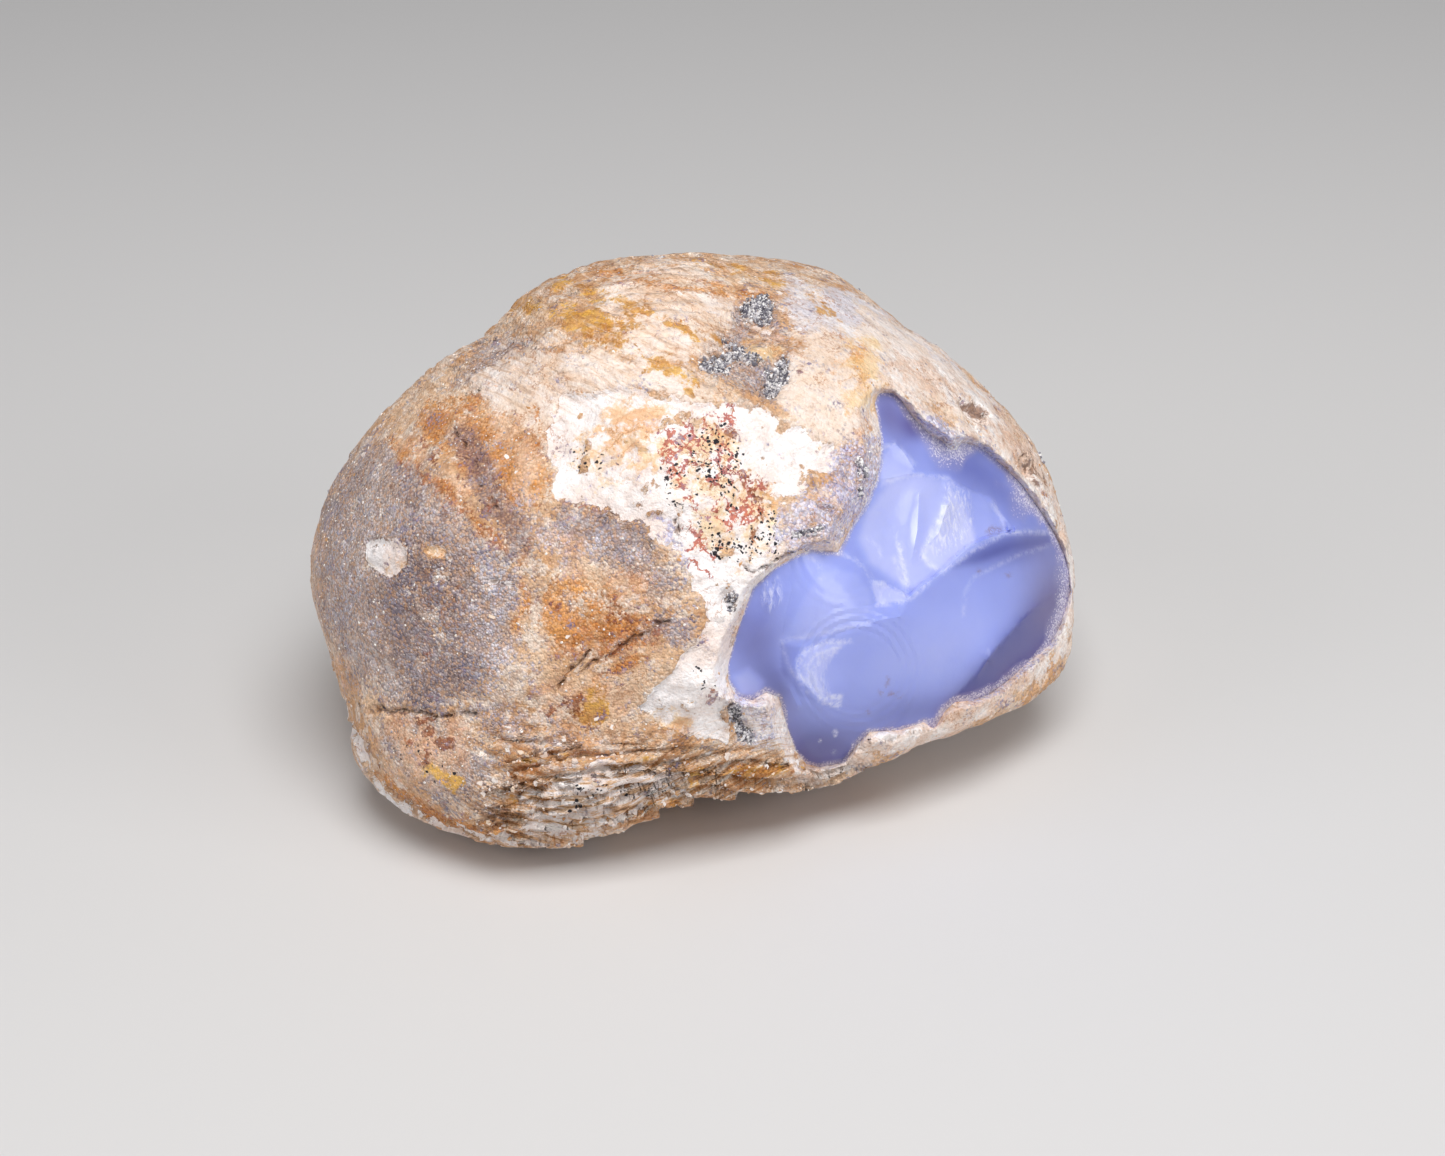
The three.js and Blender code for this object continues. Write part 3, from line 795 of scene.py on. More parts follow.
PATCHES["stain"] = {
    "beside the blush": ("line", 0.8, 1.2, [(4.2, 12.4), (5.4, 9.6), (5.2, 6)]),
    "spots of the chalk": ("line", 0.6, 1.6, [(-18.4, 14.6), (-16.4, 18.4), (-12, 19.4)]),
    "window shoulder yellow": ("area", 0.8, 1.8, [
        (15.6, 29.6), (18.6, 28.9), (19.6, 24.6), (18.6, 20.9), (16.1, 21.5), (15.3, 25.8)]),
    "little scab": ("line", 1.2, 0.6, [(-36.3, 3.3), (-35.3, 3.0)]),
    "edge of the scab": ("line", 0.3, 0.9, [(-44, 2), (-41.4, 0.8), (-39, 2.4)]),
    "yellow cloud over the chalk": ("area", 0, 2, [
        (-16, 23), (-7, 21.5), (-5.5, 15), (-9, 12.5), (-14, 15), (-15, 19)]),
    "in the blush": ("area", -1.0, 2.4, [
        (-8, 17), (-2, 21), (3, 18), (6, 10), (7, 3), (2, -1), (-4, 3), (-6.6, 10)]),
    "left of the blush": ("area", -0.6, 3, [(-20, 16), (-12, 19), (-8, 13), (-15, 10)]),
    "yellow cloud beside the blush": ("area", 0, 1, [
        (2, 11), (5.5, 12.5), (7.5, 9), (5.5, 4), (2.5, 5.5)]),
    "tint of the hollow": ("area", 0, 1, [(2.4, 29.5), (6, 31), (8.2, 28.5), (6, 26), (3, 27)]),
    "tint of the low chalk": ("area", 0, 1, [(-9, -17), (-5.5, -15.5), (-3, -18.5), (-6, -19.5)]),
}
PATCHES["cream"] = {
    "upper left drift": ("area", 0, 2.4, [
        (-30.4, 24.8), (-25.2, 28.1), (-16.5, 26.8), (-9, 24.8), (-15.2, 23.1), (-20.2, 22.1),
        (-22.7, 18.6), (-27, 19.6), (-29.5, 21.5)]),
    "cream shoulder": ("area", 0, 1.7, [
        (8.4, 28.9), (13.4, 30.8), (16.5, 28.9), (17.3, 22.1), (18.9, 17.8), (14, 17.1), (9.6, 19.6),
        (6.5, 22.1), (8.4, 25.8)]),
    "crown left": ("area", 0, 2, [
        (-10.2, 25.8), (-4, 28.3), (-0.3, 34.5), (-2.8, 38.3), (-10.2, 38.9), (-15.2, 34.5),
        (-12.7, 29.6)]),
    "over the window": ("area", 0, 2.4, [
        (17, 33), (24, 29.5), (31, 23.6), (36.6, 17), (36, 14), (31.6, 18.6), (27, 21.8), (21, 24),
        (18, 28)]),
    "under the brow": ("area", 0, 3.0, [
        (-26, 27.6), (-18, 27.6), (-11, 26.4), (-4, 25.4), (-3, 23.4), (-10, 23.6), (-20, 22.8)]),
    "crown between the streams": ("line", 1.6, 2.6, [(-9, 33.6), (-2, 32), (-1.6, 29)]),
}
PATCHES["milk"] = {
    "right crown": ("area", 0.8, 1.5, [
        (8.6, 36.6), (18.3, 33.3), (25.8, 28.3), (32.6, 22.1), (37, 15.9), (33.2, 18.4), (27, 22.7),
        (20.8, 25.8), (15.8, 30.2), (9.8, 31.5)]),
    "rim under the wall": ("area", 0, 0.7, [
        (27, 19.6), (30.1, 18.4), (31.4, 16.5), (28.9, 15.7), (27, 17.1)]),
    "pocket crust": ("area", 0, 1.2, [
        (0.9, -15.2), (3.4, -14.4), (5.9, -15), (6.6, -17), (6.6, -20.5), (4, -20.9), (1.6, -19.4)]),
    "curd": ("area", 0, 0.8, [
        (15.7, -21.9), (17.6, -19.9), (22, -18.6), (25.5, -17.9), (25.7, -19.5), (22, -20.7),
        (18.3, -21.6)]),
}
PATCHES["crust"] = {
    "right collar": ("area", 0, 1.2, [
        (20.2, 24), (25.8, 22.7), (31.4, 19.6), (35.7, 15.9), (40.1, 9.7), (41.9, 4.7), (43.2, 7.2),
        (39.4, 14.7), (33.2, 22.1), (27, 27.1), (20.8, 28.3)]),
    "lower right crust": ("area", 0, 0.7, [
        (43.5, -2.7), (43.2, -8.9), (39.4, -12.7), (33.2, -17), (25.8, -20.7), (15.8, -23.9),
        (9.6, -25.7), (8.4, -23.2), (15.8, -22.6), (25.8, -18.9), (33.2, -14.8), (40.7, -8.7)]),
    "bridge to the druse": ("line", 0.8, 1.4, [(12.8, 11.2), (14.2, 9.4)]),
}
PATCHES["chalk"] = {
    "main band": ("area", 0, 0.6, [
        (-21.9, 19), (-19.6, 22.4), (-12.7, 23.6), (-7.1, 22.6), (-2.8, 21.9), (2.2, 22.1), (8.4, 19),
        (14, 17.1), (14.3, 13.4), (11.1, 13.4), (9, 10.3), (5.9, 9.7), (7.4, 4.7), (4.9, -0.5),
        (2.4, -3), (1.7, -8.9), (-0.1, -13.9), (0.6, -20.4), (-2.8, -19.5), (-6.8, -18.6),
        (-10.2, -16.1), (-8.8, -13.9), (-6.3, -11.2), (-4, -8.9), (-1.8, -5.2), (-3.5, -1.5),
        (-4.8, 2.2), (-9.6, 6.2), (-15.2, 8.2), (-20.2, 10.4), (-21.4, 14.7)]),
    "left scab": ("area", 0, 0.4, [
        (-44.3, 4.1), (-41.9, 5.3), (-38.6, 3.7), (-39.1, 2), (-41.6, 0.4), (-44.3, 1.5)]),
    "left ledge": ("line", 0.6, 0.6, [
        (-46.3, -18.3), (-44.8, -22), (-42.5, -25.7), (-38.8, -29.1), (-33.9, -31.1), (-27.6, -32.5),
        (-22.7, -33.2)]),
    "foot white": ("area", -0.3, 1.6, [
        (-22.7, -26.3), (-16.5, -23.9), (-10.2, -23.2), (-4, -25.1), (-5.3, -27.6), (-10.2, -29.1),
        (-15.2, -32.3), (-21.4, -32.8), (-25.2, -31.3)]),
    "foot apron": ("line", 0.7, 0.7, [(-25.2, -27.6), (-20.2, -25.1), (-14, -23.9), (-9, -24.1)]),
    "hollow, white": ("line", 0.2, 0.8, [(3.0, 31.0), (5.8, 30.4), (6.8, 28.2)]),
    "icy lip": ("line", 0.3, 1.0, [(16.6, -21.2), (19, -19.9), (22.4, -19.3), (25.4, -18.7)]),
    "little scab": ("line", 0.8, 0.3, [(-36.3, 3.3), (-35.3, 3.0)]),
    "sparkle of the slope": ("line", 0.4, 0.5, [(-28.6, -0.6), (-26.6, -0.8)]),
}
PATCHES["pink"] = {
    "blush": ("area", 0, 1, [
        (-8.4, 18.4), (-5.3, 20.2), (1.6, 22.1), (2.2, 18.4), (1.6, 13.4), (5.3, 12.2), (5.3, 8.4),
        (2.2, 4.7), (-2.8, 7.2), (-6.5, 10.9), (-8.4, 14.7)]),
    "lower blush": ("area", 0, 1.2, [(-5.3, 7.2), (-0.3, 6), (0.9, 1), (-2.8, -1.5), (-5.3, 2.2)]),
}
PATCHES["lilac"] = {
    "right lip": ("line", 0.5, 1.2, [(31, -15.6), (36, -12.4), (40.6, -7.6), (42.4, -2)]),
    "rim under the wall": ("line", 0.9, 1.2, [(25.4, 19.4), (28.6, 17.4), (32.6, 15.6)]),
    "side of the pocket": ("line", 1.0, 1.4, [(2.6, -15.6), (5.2, -17.6), (5, -20)]),
    "window druse": ("area", 0.6, 1.2, [
        (14.3, 15.7), (17.3, 17.1), (19.6, 16.9), (19.6, 13.4), (18.6, 10.3), (16.5, 7.8), (14.3, 9.1),
        (13.6, 12.4)]),
    "knob sugar": ("area", 0.4, 1.4, [
        (7.1, 7.8), (9.6, 9.9), (14, 9.7), (17.1, 8.2), (15.2, 6), (11.5, 3.7), (8.4, 3.2),
        (6.9, 4.7)]),
    "lip of the chalk": ("line", 0.3, 0.9, [(-8.6, 7.8), (-6.8, 6.8), (-5.4, 3.4), (-4.7, 0.2)]),
}
PATCHES["druse"] = {
    "hollow, top": ("area", 0, 0.8, [
        (2.0, 33.6), (4.3, 35.0), (6.3, 34.0), (6.4, 31.6), (4.0, 31.4), (2.4, 32.0)]),
    "hollow, left": ("area", 0, 0.8, [
        (-3.8, 26.4), (-1.5, 27.6), (0.9, 27.8), (0.8, 25.9), (-1.5, 25.4)]),
    "hollow, lower right": ("area", 0, 0.8, [
        (4.8, 25.0), (6.8, 26.6), (8.4, 27.4), (8.4, 24.6), (6.6, 22.3), (4.9, 22.6)]),
    "hollow, middle": ("line", 0.7, 0.8, [(0.6, 29.4), (2.6, 27.4), (4.4, 26.6)]),
    "beads of the lip": ("line", 0.0, 0.8, [(17.2, -20.9), (21, -19.8), (25.4, -18.9)]),
    "window druse core": ("line", 0.4, 1.0, [(16.6, 14.6), (17.4, 12.2), (16.8, 9.8)]),
    "button druse": ("line", 0.7, 0.5, [(0.6, -2.5), (0.8, -4)]),
    "pocket": ("line", 0.7, 0.8, [(1.2, -16.6), (2.0, -18.4), (3.4, -19.6)]),
    "knob": ("line", 0.3, 1.4, [(8.9, 5.4), (11.2, 5.6), (13.6, 6.6)]),
}
# Creases, crevices and pits, sunk into the rind and painted dark: brown dirt and painted shade where
# light doesn't reach.
PATCHES["crease"] = {
    "foot crevice": ("line", 0.15, 0.35, [(-24.6, -25.8), (-20.4, -26.4), (-15, -27.4), (-10, -27)]),
    "foot crevice below": ("line", 0.15, 0.35, [
        (-28.6, -29.2), (-22.4, -30.2), (-16.6, -29.6), (-11.6, -30)]),
    "waist crevice": ("line", 0.2, 0.5, [(-25, -22.4), (-22.6, -20.8), (-20.4, -22.8)]),
    "valley crease": ("line", 0.15, 0.4, [(-33.6, 18.6), (-31.4, 15.3), (-30.4, 11.6), (-27.6, 7.8)]),
    "long crease": ("line", 0.3, 0.4, [(-6.8, -5.5), (-10.2, -7.1), (-14, -9.6), (-17.7, -11.7)]),
    "short crease": ("line", 0.2, 0.4, [(-15.2, -7.7), (-18.9, -11.2), (-20.2, -13.9)]),
    "dome foot": ("line", 0.3, 0.6, [(-44.8, -15.9), (-40.1, -16.6), (-35.1, -17.4), (-30.1, -16.6)]),
    "pits right": ("line", 0.9, 0.8, [(30.2, 21.4), (31.9, 20.0)]),
    "pits far right": ("line", 0.6, 0.8, [(37.3, 15.0), (38.4, 13.4), (39.4, 11.7)]),
    "crevice under the knob": ("line", 0.2, 0.3, [(4.4, 0.6), (6.6, 1.9), (9.4, 3.3), (12.6, 4.0)]),
    "pit of the knob": ("line", 0.5, 0.4, [(11.9, 8.9), (12.9, 8.4)]),
    "pit of the lip": ("line", 0.35, 0.4, [(-5.8, 6.7), (-5.5, 5.6)]),
    "chalk crack": ("line", 0.1, 0.2, [(2.5, 2.2), (4.7, 0.4), (3.2, -2.7)]),
}
PATCHES["speck"] = {
    "waist": ("line", 0.3, 1.2, [(-17.6, -17.8), (-19.4, -18.8)]),
    "pepper": ("area", 0, 1.2, [
        (-9, 18.4), (-2.8, 21.5), (2.2, 20.9), (3.4, 14.7), (6.5, 9.7), (8.4, 2.2), (3.4, -0.2),
        (-2.8, 2.2), (-7.8, 9.7)]),
    "foot pepper": ("area", 0, 1.2, [
        (-27.6, -26.3), (-20.2, -23.9), (-9, -24.5), (-4, -26.3), (-12.7, -29.4), (-20.2, -30.1)]),
    "chunk pepper": ("area", 0, 1.2, [
        (-42.5, -19.5), (-35.1, -18.9), (-32, -25.1), (-35.1, -27.6), (-40.1, -24.5)]),
    "chalk foot pepper": ("area", 0, 0.7, [(-4, -9.6), (-0.9, -8.9), (-0.6, -13.9), (-3.4, -15.2)]),
    "left pepper": ("area", 0, 1, [
        (-20.8, 17.1), (-15.2, 17.1), (-10.2, 13.4), (-12.7, 9.7), (-18.9, 12.2)]),
}

# The patches start where the skin turns to the camera by the first share, and are whole at the
# second. Their edges wobble this far, in waves of this size, in mm.
SEEN_FROM = (-0.12, 0.15)
WOBBLE = 0.8
WOBBLE_SIZE = 3.2
# How far each kind of patch stands out of the rind, in mm.
PATCH_LIFTS = {
    "chalk": -0.6, "druse": -0.5, "crease": -0.9, "cream": 0.15,
}

# Lumps and pits that the rind has beside its patches: (across, up, reach, lift), in mm.
RIND_LUMPS = {
    "knob over the window": (12.6, 6.2, 3.6, 1.3),
    "hollow under the crown": (3.8, 29.5, 4.5, -1.5),
    "deep of the hollow": (6.0, 24.8, 2.2, -1.4),
    "nub in the hollow": (4.8, 28.2, 2.0, 1.5),
    "chalk foot": (-3.5, -13.5, 3.2, 0.8),
    "scab": (-41.6, 2.9, 2.8, 0.6),
    "scab, left": (-43.4, 2.7, 1.4, 0.3),
    "little scab": (-35.7, 3.1, 1.1, 0.5),
    "groove, top": (-31.6, 16.0, 1.6, -0.7),
    "groove, middle": (-29.6, 12.0, 1.7, -0.8),
    "groove, foot": (-26.8, 7.8, 1.9, -0.7),
    "tongue": (-34.6, 13.2, 2.6, 0.5),
    "lip of the sweep": (-24.4, 13.6, 2.6, 0.5),
    "pocket in the valley": (-14.6, 7.0, 1.0, -0.9),
    "pocket beside it": (-12.0, 5.9, 0.8, -0.8),
    "pocket by the chalk": (-9.8, 3.8, 0.9, -0.9),
    "toe": (-30.0, -29.0, 4.0, 0.6),
    "dent over the toe": (-33.0, -17.0, 3.5, -0.6),
    "pocket": (2.6, -17.8, 2.6, -0.9),
    "pocket eye": (1.9, -18.6, 1.1, -0.7),
    "round eye": (0.7, -3.2, 1.1, -0.6),
    "pit beside the rim": (31.0, 20.7, 1.0, -0.8),
    "pits by the end": (38.3, 13.4, 1.1, -0.9),
    "brow ripple": (-28.0, 28.5, 3.0, -0.5),
    "curds under the window": (20.8, -19.4, 3.4, 0.5),
    "step under the slab": (31.0, -16.6, 2.0, 0.4),
}


# How each kind of patch frays at its edge: how far the tears reach as a share of its soft edge,
# the size of a tear in mm, and how much of it shows through everywhere as flecks.
FRAYS = {
    "grey": (0.3, 4.0, 0.10), "gloom": (0.3, 5.0, 0.0), "rust": (0.5, 3.2, -0.2),
    "peach": (0.5, 3.4, -0.15), "frost": (0.6, 3.0, -0.12), "lilac": (0.5, 2.6, -0.1),
    "yellow": (0.6, 3.0, -0.28), "chalk": (0.8, 2.4, 0.0), "stain": (0.9, 3.2, 0.0),
    "cream": (0.6, 4.5, 0.2), "milk": (0.6, 4.0, 0.0), "druse": (0.5, 2.0, -0.1),
    "pink": (0.5, 3.0, -0.1), "ember": (0.5, 2.4, -0.16), "crust": (0.4, 2.6, 0.0),
    "speck": (0.3, 4.0, -0.1), "crease": (0.5, 1.6, -0.1),
}

# How much of the sides and back each kind of patch covers, and the size of its patches in mm.
BACK_COVER = {
    "grey": (0.46, 26.0), "gloom": (0.3, 18.0), "rust": (0.36, 15.0),
    "peach": (0.36, 14.0), "frost": (0.3, 11.0), "yellow": (0.33, 13.0), "chalk": (0.42, 17.0),
    "crust": (0.3, 10.0), "ember": (0.2, 8.0), "cream": (0.45, 22.0),
    "milk": (0.25, 14.0), "druse": (0.20, 9.0), "pink": (0.16, 9.0),
    "speck": (0.28, 12.0), "crease": (0.0, 6.0), "stain": (0.4, 12.0),
    "lilac": (0.1, 9.0),
}


def patch_masks(points, normals):
    """How much of each kind of patch covers each point of the stone, past 0.5 where it shows."""
    across, up, _ = on_sheet(points)
    across = across + WOBBLE * cloudy(points, WOBBLE_SIZE, 4, 5.0)
    up = up + WOBBLE * cloudy(points, WOBBLE_SIZE, 4, 9.0)
    seen = smooth_step(*SEEN_FROM, facing(points, normals))
    masks = {kind: np.zeros(len(points)) for kind in BACK_COVER}
    for kind, patches in PATCHES.items():
        for form, reach, fade, outline in patches.values():
            share = patch_share(across, up, form, reach, 0.8 + 1.7 * fade, outline)
            masks[kind] = np.maximum(masks[kind], share)
    crust = smooth_step(3.2, 1.2, line_distance(across, up, WINDOW_OUTLINE, True))
    masks["crust"] = np.maximum(masks["crust"], 0.8 * crust)
    for index, (kind, (cover, size)) in enumerate(BACK_COVER.items()):
        # Each kind has clouds and tears of its own.
        clouds = 0.5 + 0.5 * cloudy(points, size, 4, 20.0 + 7.3 * index)
        behind = smooth_step(0.86 - cover, 1.26 - cover, clouds)
        tear, tear_size, fleck = FRAYS[kind]
        share = masks[kind] * seen + behind * (1 - seen)
        tears = tear * cloudy(points, tear_size, 5, 50.0 + 3.1 * index)
        masks[kind] = np.clip(share + fleck + tears * (0.3 + 0.7 * share), -0.5, 1.5)
    return masks


# The widths of the rind's lumps, its grit, the chalk's curds and the druse's crystals, the
# heights of the last two, and how far what the window takes away stands out, in mm.
LUMP_SIZE = 7.5
GRIT_SIZE = 2.6
CURD_SIZE, CURD_HEIGHT = 1.7, 0.32
CRYSTAL_SIZE, CRYSTAL_HEIGHT = 1.1, 0.75
CUT_AWAY = 4.5


def weather(stone, look):
    """Raises and sinks the skin: patches, lumps, steps of the flaky foot, and grain."""
    mesh = stone.data
    points = read_points(mesh)
    normals = read_normals(mesh)
    masks = patch_masks(points, normals)
    across, up, _ = on_sheet(points)
    seen = smooth_step(*SEEN_FROM, facing(points, normals))
    lift = look.lump_height / MM * cloudy(points, LUMP_SIZE, 3)
    lift += look.grit_height / MM * cloudy(points, GRIT_SIZE, 4, 3.0)
    # Cream and milk are smooth, and chalk has a crumbly relief of its own.
    lift *= 1 - 0.65 * np.clip(np.maximum(masks["cream"], masks["milk"]), 0, 1)
    curds = cloudy(points, CURD_SIZE, 3, 12.0)
    lift += CURD_HEIGHT * np.clip(masks["chalk"], 0, 1) * curds
    for kind, height in PATCH_LIFTS.items():
        lift += height * smooth_step(0.42, 0.58, masks[kind])
    for lump_across, lump_up, reach, height in RIND_LUMPS.values():
        away = np.hypot(across - lump_across, up - lump_up) / reach
        lift += seen * height * np.exp(-away ** 2)
    lift += foot_layers(points, across, up, seen, look.foot_step / MM)
    crystals = np.array([
        noise.voronoi(Vector(point) / CRYSTAL_SIZE)[0][0] for point in points.tolist()
    ])
    lift += CRYSTAL_HEIGHT * np.clip(masks["druse"], 0, 1) * (0.45 - crystals)
    inside = is_inside(across, up, WINDOW_OUTLINE) & (facing(points, normals) > 0)
    # What the window takes away stands out, so that the cut leaves none of it. The flat that
    # the stone rests on stays as it is.
    rim_gap = line_distance(across, up, WINDOW_OUTLINE, True)
    lift += CUT_AWAY * inside * smooth_step(0.6, 1.8, rim_gap)
    off_ground = smooth_step(0.2, 1.6, points[:, 2])
    points = points + normals * (lift * off_ground)[:, None]
    points[:, 2] = np.maximum(points[:, 2], 0.0)
    write_points(mesh, points)


def foot_layers(points, across, up, seen, step):
    """Thin broken layers, stacked like slate, along the foot and over the brow."""
    # Their noise is drawn out along the layers, which dip a little to the left.
    flat = np.stack([0.18 * across + 0.05 * up, up - 0.12 * across, 0.3 * points[:, 1]], 1)
    stack = 2.2 * cloudy(flat, 4.5, 3, 31.0) + 0.62 * (up - 0.1 * across)
    ledge = stack - np.floor(stack)
    foot = smooth_step(-19.5, -24.0, up + 0.12 * across) * smooth_step(-34.0, -24.0, across)
    brow = smooth_step(23.0, 27.0, up - 0.1 * across) * smooth_step(6.0, -6.0, across)
    return seen * step * (foot + 0.33 * brow) * (smooth_step(0.0, 0.85, ledge) - 0.5)


# The names under which the stone's points keep what `flow_of` finds.
FLOW_SHARES = ("flow_along", "flow_over", "layered")


def flow_of(across, up):
    """The rind's layers: how far along them and over them a place is, and how much they show."""
    brow = smooth_step(6.0, 16.0, up)
    foot = smooth_step(-15.0, -24.0, up) * smooth_step(-37.0, -27.0, across)
    rise = 0.1 - 0.55 * brow + 0.12 * foot
    layered = np.maximum(0.34 * smooth_step(20.0, 27.0, up - 0.1 * across), foot)
    layered = 0.06 + 0.94 * layered * smooth_step(16.0, 4.0, across)
    over = up - rise * across - 4.0 * foot * np.sin(across / 9.0)
    return across + rise * up, over, layered


# ------------------------------------------------------------------ grains, crystals and flakes


def edit_all(select=True):
    """Goes into edit mode with all of the active piece selected, or none of it."""
    bpy.ops.object.mode_set(mode="EDIT")
    bpy.ops.mesh.select_mode(type="FACE")
    bpy.ops.mesh.select_all(action="SELECT" if select else "DESELECT")


def take_pattern():
    """The active piece's points and triangles; the piece itself is thrown away."""
    edit_all()
    bpy.ops.mesh.quads_convert_to_tris()
    bpy.ops.object.mode_set(mode="OBJECT")
    piece = bpy.context.object
    points = np.array([vertex.co for vertex in piece.data.vertices])
    faces = np.array([polygon.vertices for polygon in piece.data.polygons])
    bpy.data.objects.remove(piece)
    return points, faces


def sand_grain():
    """An angular grain, one unit across."""
    pick_none()
    bpy.ops.mesh.primitive_ico_sphere_add(subdivisions=1, radius=0.5)
    edit_all()
    bpy.ops.transform.vertex_random(offset=0.16, seed=4)
    bpy.ops.object.mode_set(mode="OBJECT")
    return take_pattern()


def quartz_point():
    """A six-sided quartz crystal, one unit wide, whose pyramid points up."""
    pick_none()
    bpy.ops.mesh.primitive_cone_add(vertices=6, radius1=0.5, radius2=0.46, depth=1.0)
    bpy.ops.object.mode_set(mode="OBJECT")
    top = max(bpy.context.object.data.polygons, key=lambda face: face.center.z).index
    edit_all(False)
    bpy.ops.object.mode_set(mode="OBJECT")
    bpy.context.object.data.polygons[top].select = True
    bpy.ops.object.mode_set(mode="EDIT")
    bpy.ops.mesh.extrude_region_move(TRANSFORM_OT_translate={"value": (0, 0, 0.5)})
    bpy.ops.transform.resize(value=(0.12, 0.3, 1.0), center_override=(0, 0, 1.0))
    bpy.ops.object.mode_set(mode="OBJECT")
    return take_pattern()


def flake():
    """A broken chip of rind, one unit long and thin as slate."""
    pick_none()
    bpy.ops.mesh.primitive_cylinder_add(vertices=5, radius=0.5, depth=0.3)
    edit_all()
    bpy.ops.transform.vertex_random(offset=0.2, seed=9)
    bpy.ops.object.mode_set(mode="OBJECT")
    return take_pattern()


def spots_on(stone, share, count, seed):
    """Places picked on the stone, more of them where the share is high, and its slope there."""
    mesh = stone.data
    mesh.calc_loop_triangles()
    corners = np.zeros(len(mesh.loop_triangles) * 3, int)
    mesh.loop_triangles.foreach_get("vertices", corners)
    corners = corners.reshape(-1, 3)
    points = read_points(mesh)
    normals = read_normals(mesh)
    one, two, three = (points[corners[:, place]] for place in range(3))
    area = np.linalg.norm(np.cross(two - one, three - one), axis=1)
    weight = area * np.clip(share, 0, 1)[corners].mean(1)
    rng = np.random.default_rng(seed)
    chosen = rng.choice(len(corners), count, p=weight / weight.sum())
    mix = rng.dirichlet((1, 1, 1), count)[:, :, None]
    spots = (points[corners[chosen]] * mix).sum(1)
    slopes = (normals[corners[chosen]] * mix).sum(1)
    return spots, slopes / np.linalg.norm(slopes, axis=1)[:, None]


def scatter(name, pattern, spots, slopes, sizes, sink, lean, seed):
    """One mesh of many small bodies, each on its spot, leaning by about `lean` from its slope.

    `sizes` are in mm, and `sink` is how much of each one's width is buried.
    """
    shape, faces = pattern
    rng = np.random.default_rng(seed)
    count = len(spots)
    axis = slopes + lean * rng.normal(size=(count, 3))
    axis /= np.linalg.norm(axis, axis=1)[:, None]
    side = np.cross(axis, rng.normal(size=(count, 3)))
    side /= np.linalg.norm(side, axis=1)[:, None]
    over = np.cross(axis, side)
    wide = rng.uniform(0.7, 1.3, (count, 2)) * sizes[:, None]
    high = sizes * rng.uniform(0.7, 1.3, count)
    points = (
        shape[None, :, 0:1] * side[:, None] * wide[:, None, 0:1]
        + shape[None, :, 1:2] * over[:, None] * wide[:, None, 1:2]
        + shape[None, :, 2:3] * axis[:, None] * high[:, None, None]
        + (spots - slopes * (sink * sizes)[:, None])[:, None]
    ).reshape(-1, 3)
    points[:, 2] = np.maximum(points[:, 2], 0.0)
    whole = (faces[None] + len(shape) * np.arange(count)[:, None, None]).reshape(-1, 3)
    mesh = bpy.data.meshes.new(name)
    mesh.from_pydata((points * MM).tolist(), [], whole.tolist())
    piece = new_piece(name, mesh)
    write_share(mesh, "luck", np.repeat(rng.random(count), len(shape)))
    return piece


def crystal_shares(stone):
    """How thickly sugar grains, druse crystals and chips lie on each point of the stone."""
    mesh = stone.data
    points = read_points(mesh)
    normals = read_normals(mesh)
    masks = {kind: read_share(mesh, kind) for kind in BACK_COVER}
    across, up, _ = on_sheet(points)
    # None of them grow on the ground, or in the window and on its rim.
    near = is_inside(across, up, WINDOW_OUTLINE)
    near |= line_distance(across, up, WINDOW_OUTLINE, True) < 0.8
    free = smooth_step(0.4, 2.0, points[:, 2]) * ~(near & (facing(points, normals) > 0))
    bare = np.clip(1.1 - masks["chalk"] - masks["cream"] - masks["milk"], 0, 1)
    rust = smooth_step(0.3, 0.8, masks["rust"])
    grey = smooth_step(0.3, 0.8, masks["grey"])
    sugar = free * bare * (0.25 + grey + 1.6 * rust)
    druse = free * smooth_step(0.45, 0.7, masks["druse"])
    foot = smooth_step(-18.0, -25.0, up + 0.12 * across) * smooth_step(-36.0, -24.0, across)
    chalk_edge = smooth_step(0.25, 0.45, masks["chalk"]) * smooth_step(0.7, 0.5, masks["chalk"])
    chips = free * (0.05 + foot * smooth_step(16.0, 4.0, across) + 0.4 * chalk_edge)
    return {"sugar": sugar, "druse": druse, "chips": chips}


def glassy(name, tints, rough):
    """The finish of small quartz bodies: each one has its own tint, and its faces glint."""
    material = bare_material(name)
    luck = add_node(material, "Attribute", out="Fac", attribute_name="luck")
    base = linear(tints[0])
    for place, tint in enumerate(tints[1:], 1):
        edge = place / len(tints)
        base = covered(material, base, linear(tint), rise=(luck, edge - 0.06, edge + 0.06))
    place = add_node(material, "TexCoord", out="Object")
    clouds = three_noises(material, place, 0.3, 3.0, 0.6)
    base = covered(material, base, linear(tints[-1]), 0.5, (clouds[0], 0.4, 0.7))
    surface = add_node(material, "BsdfPrincipled", {
        "Base Color": base, "Roughness": rough, "IOR": 1.54,
    })
    add_node(material, "OutputMaterial", {"Surface": surface})
    return material
# ------------------------------------------------------------------ materials


def add_node(material, kind, inputs=(), out=0, **settings):
    """Adds a node with its settings, links or sets its inputs, and returns its output `out`,
    or a list of them if `out` is several names."""
    tree = material.node_tree
    node = tree.nodes.new("ShaderNode" + kind)
    for name, value in settings.items():
        setattr(node, name, value)
    for place, value in dict(inputs).items():
        if isinstance(value, bpy.types.NodeSocket):
            tree.links.new(value, node.inputs[place])
        else:
            node.inputs[place].default_value = value
    if isinstance(out, tuple):
        return [node.outputs[name] for name in out]
    return node.outputs[out] if node.outputs else None


def bare_material(name):
    material = bpy.data.materials.new(name)
    material.use_nodes = True
    material.node_tree.nodes.clear()
    return material


# A Mix node's sockets for a colour: how much, what is below, what lies over it, and the outcome.
SHARE, BELOW, OVER, MIXED = 0, 6, 7, 2
CHANNELS = ("Red", "Green", "Blue")


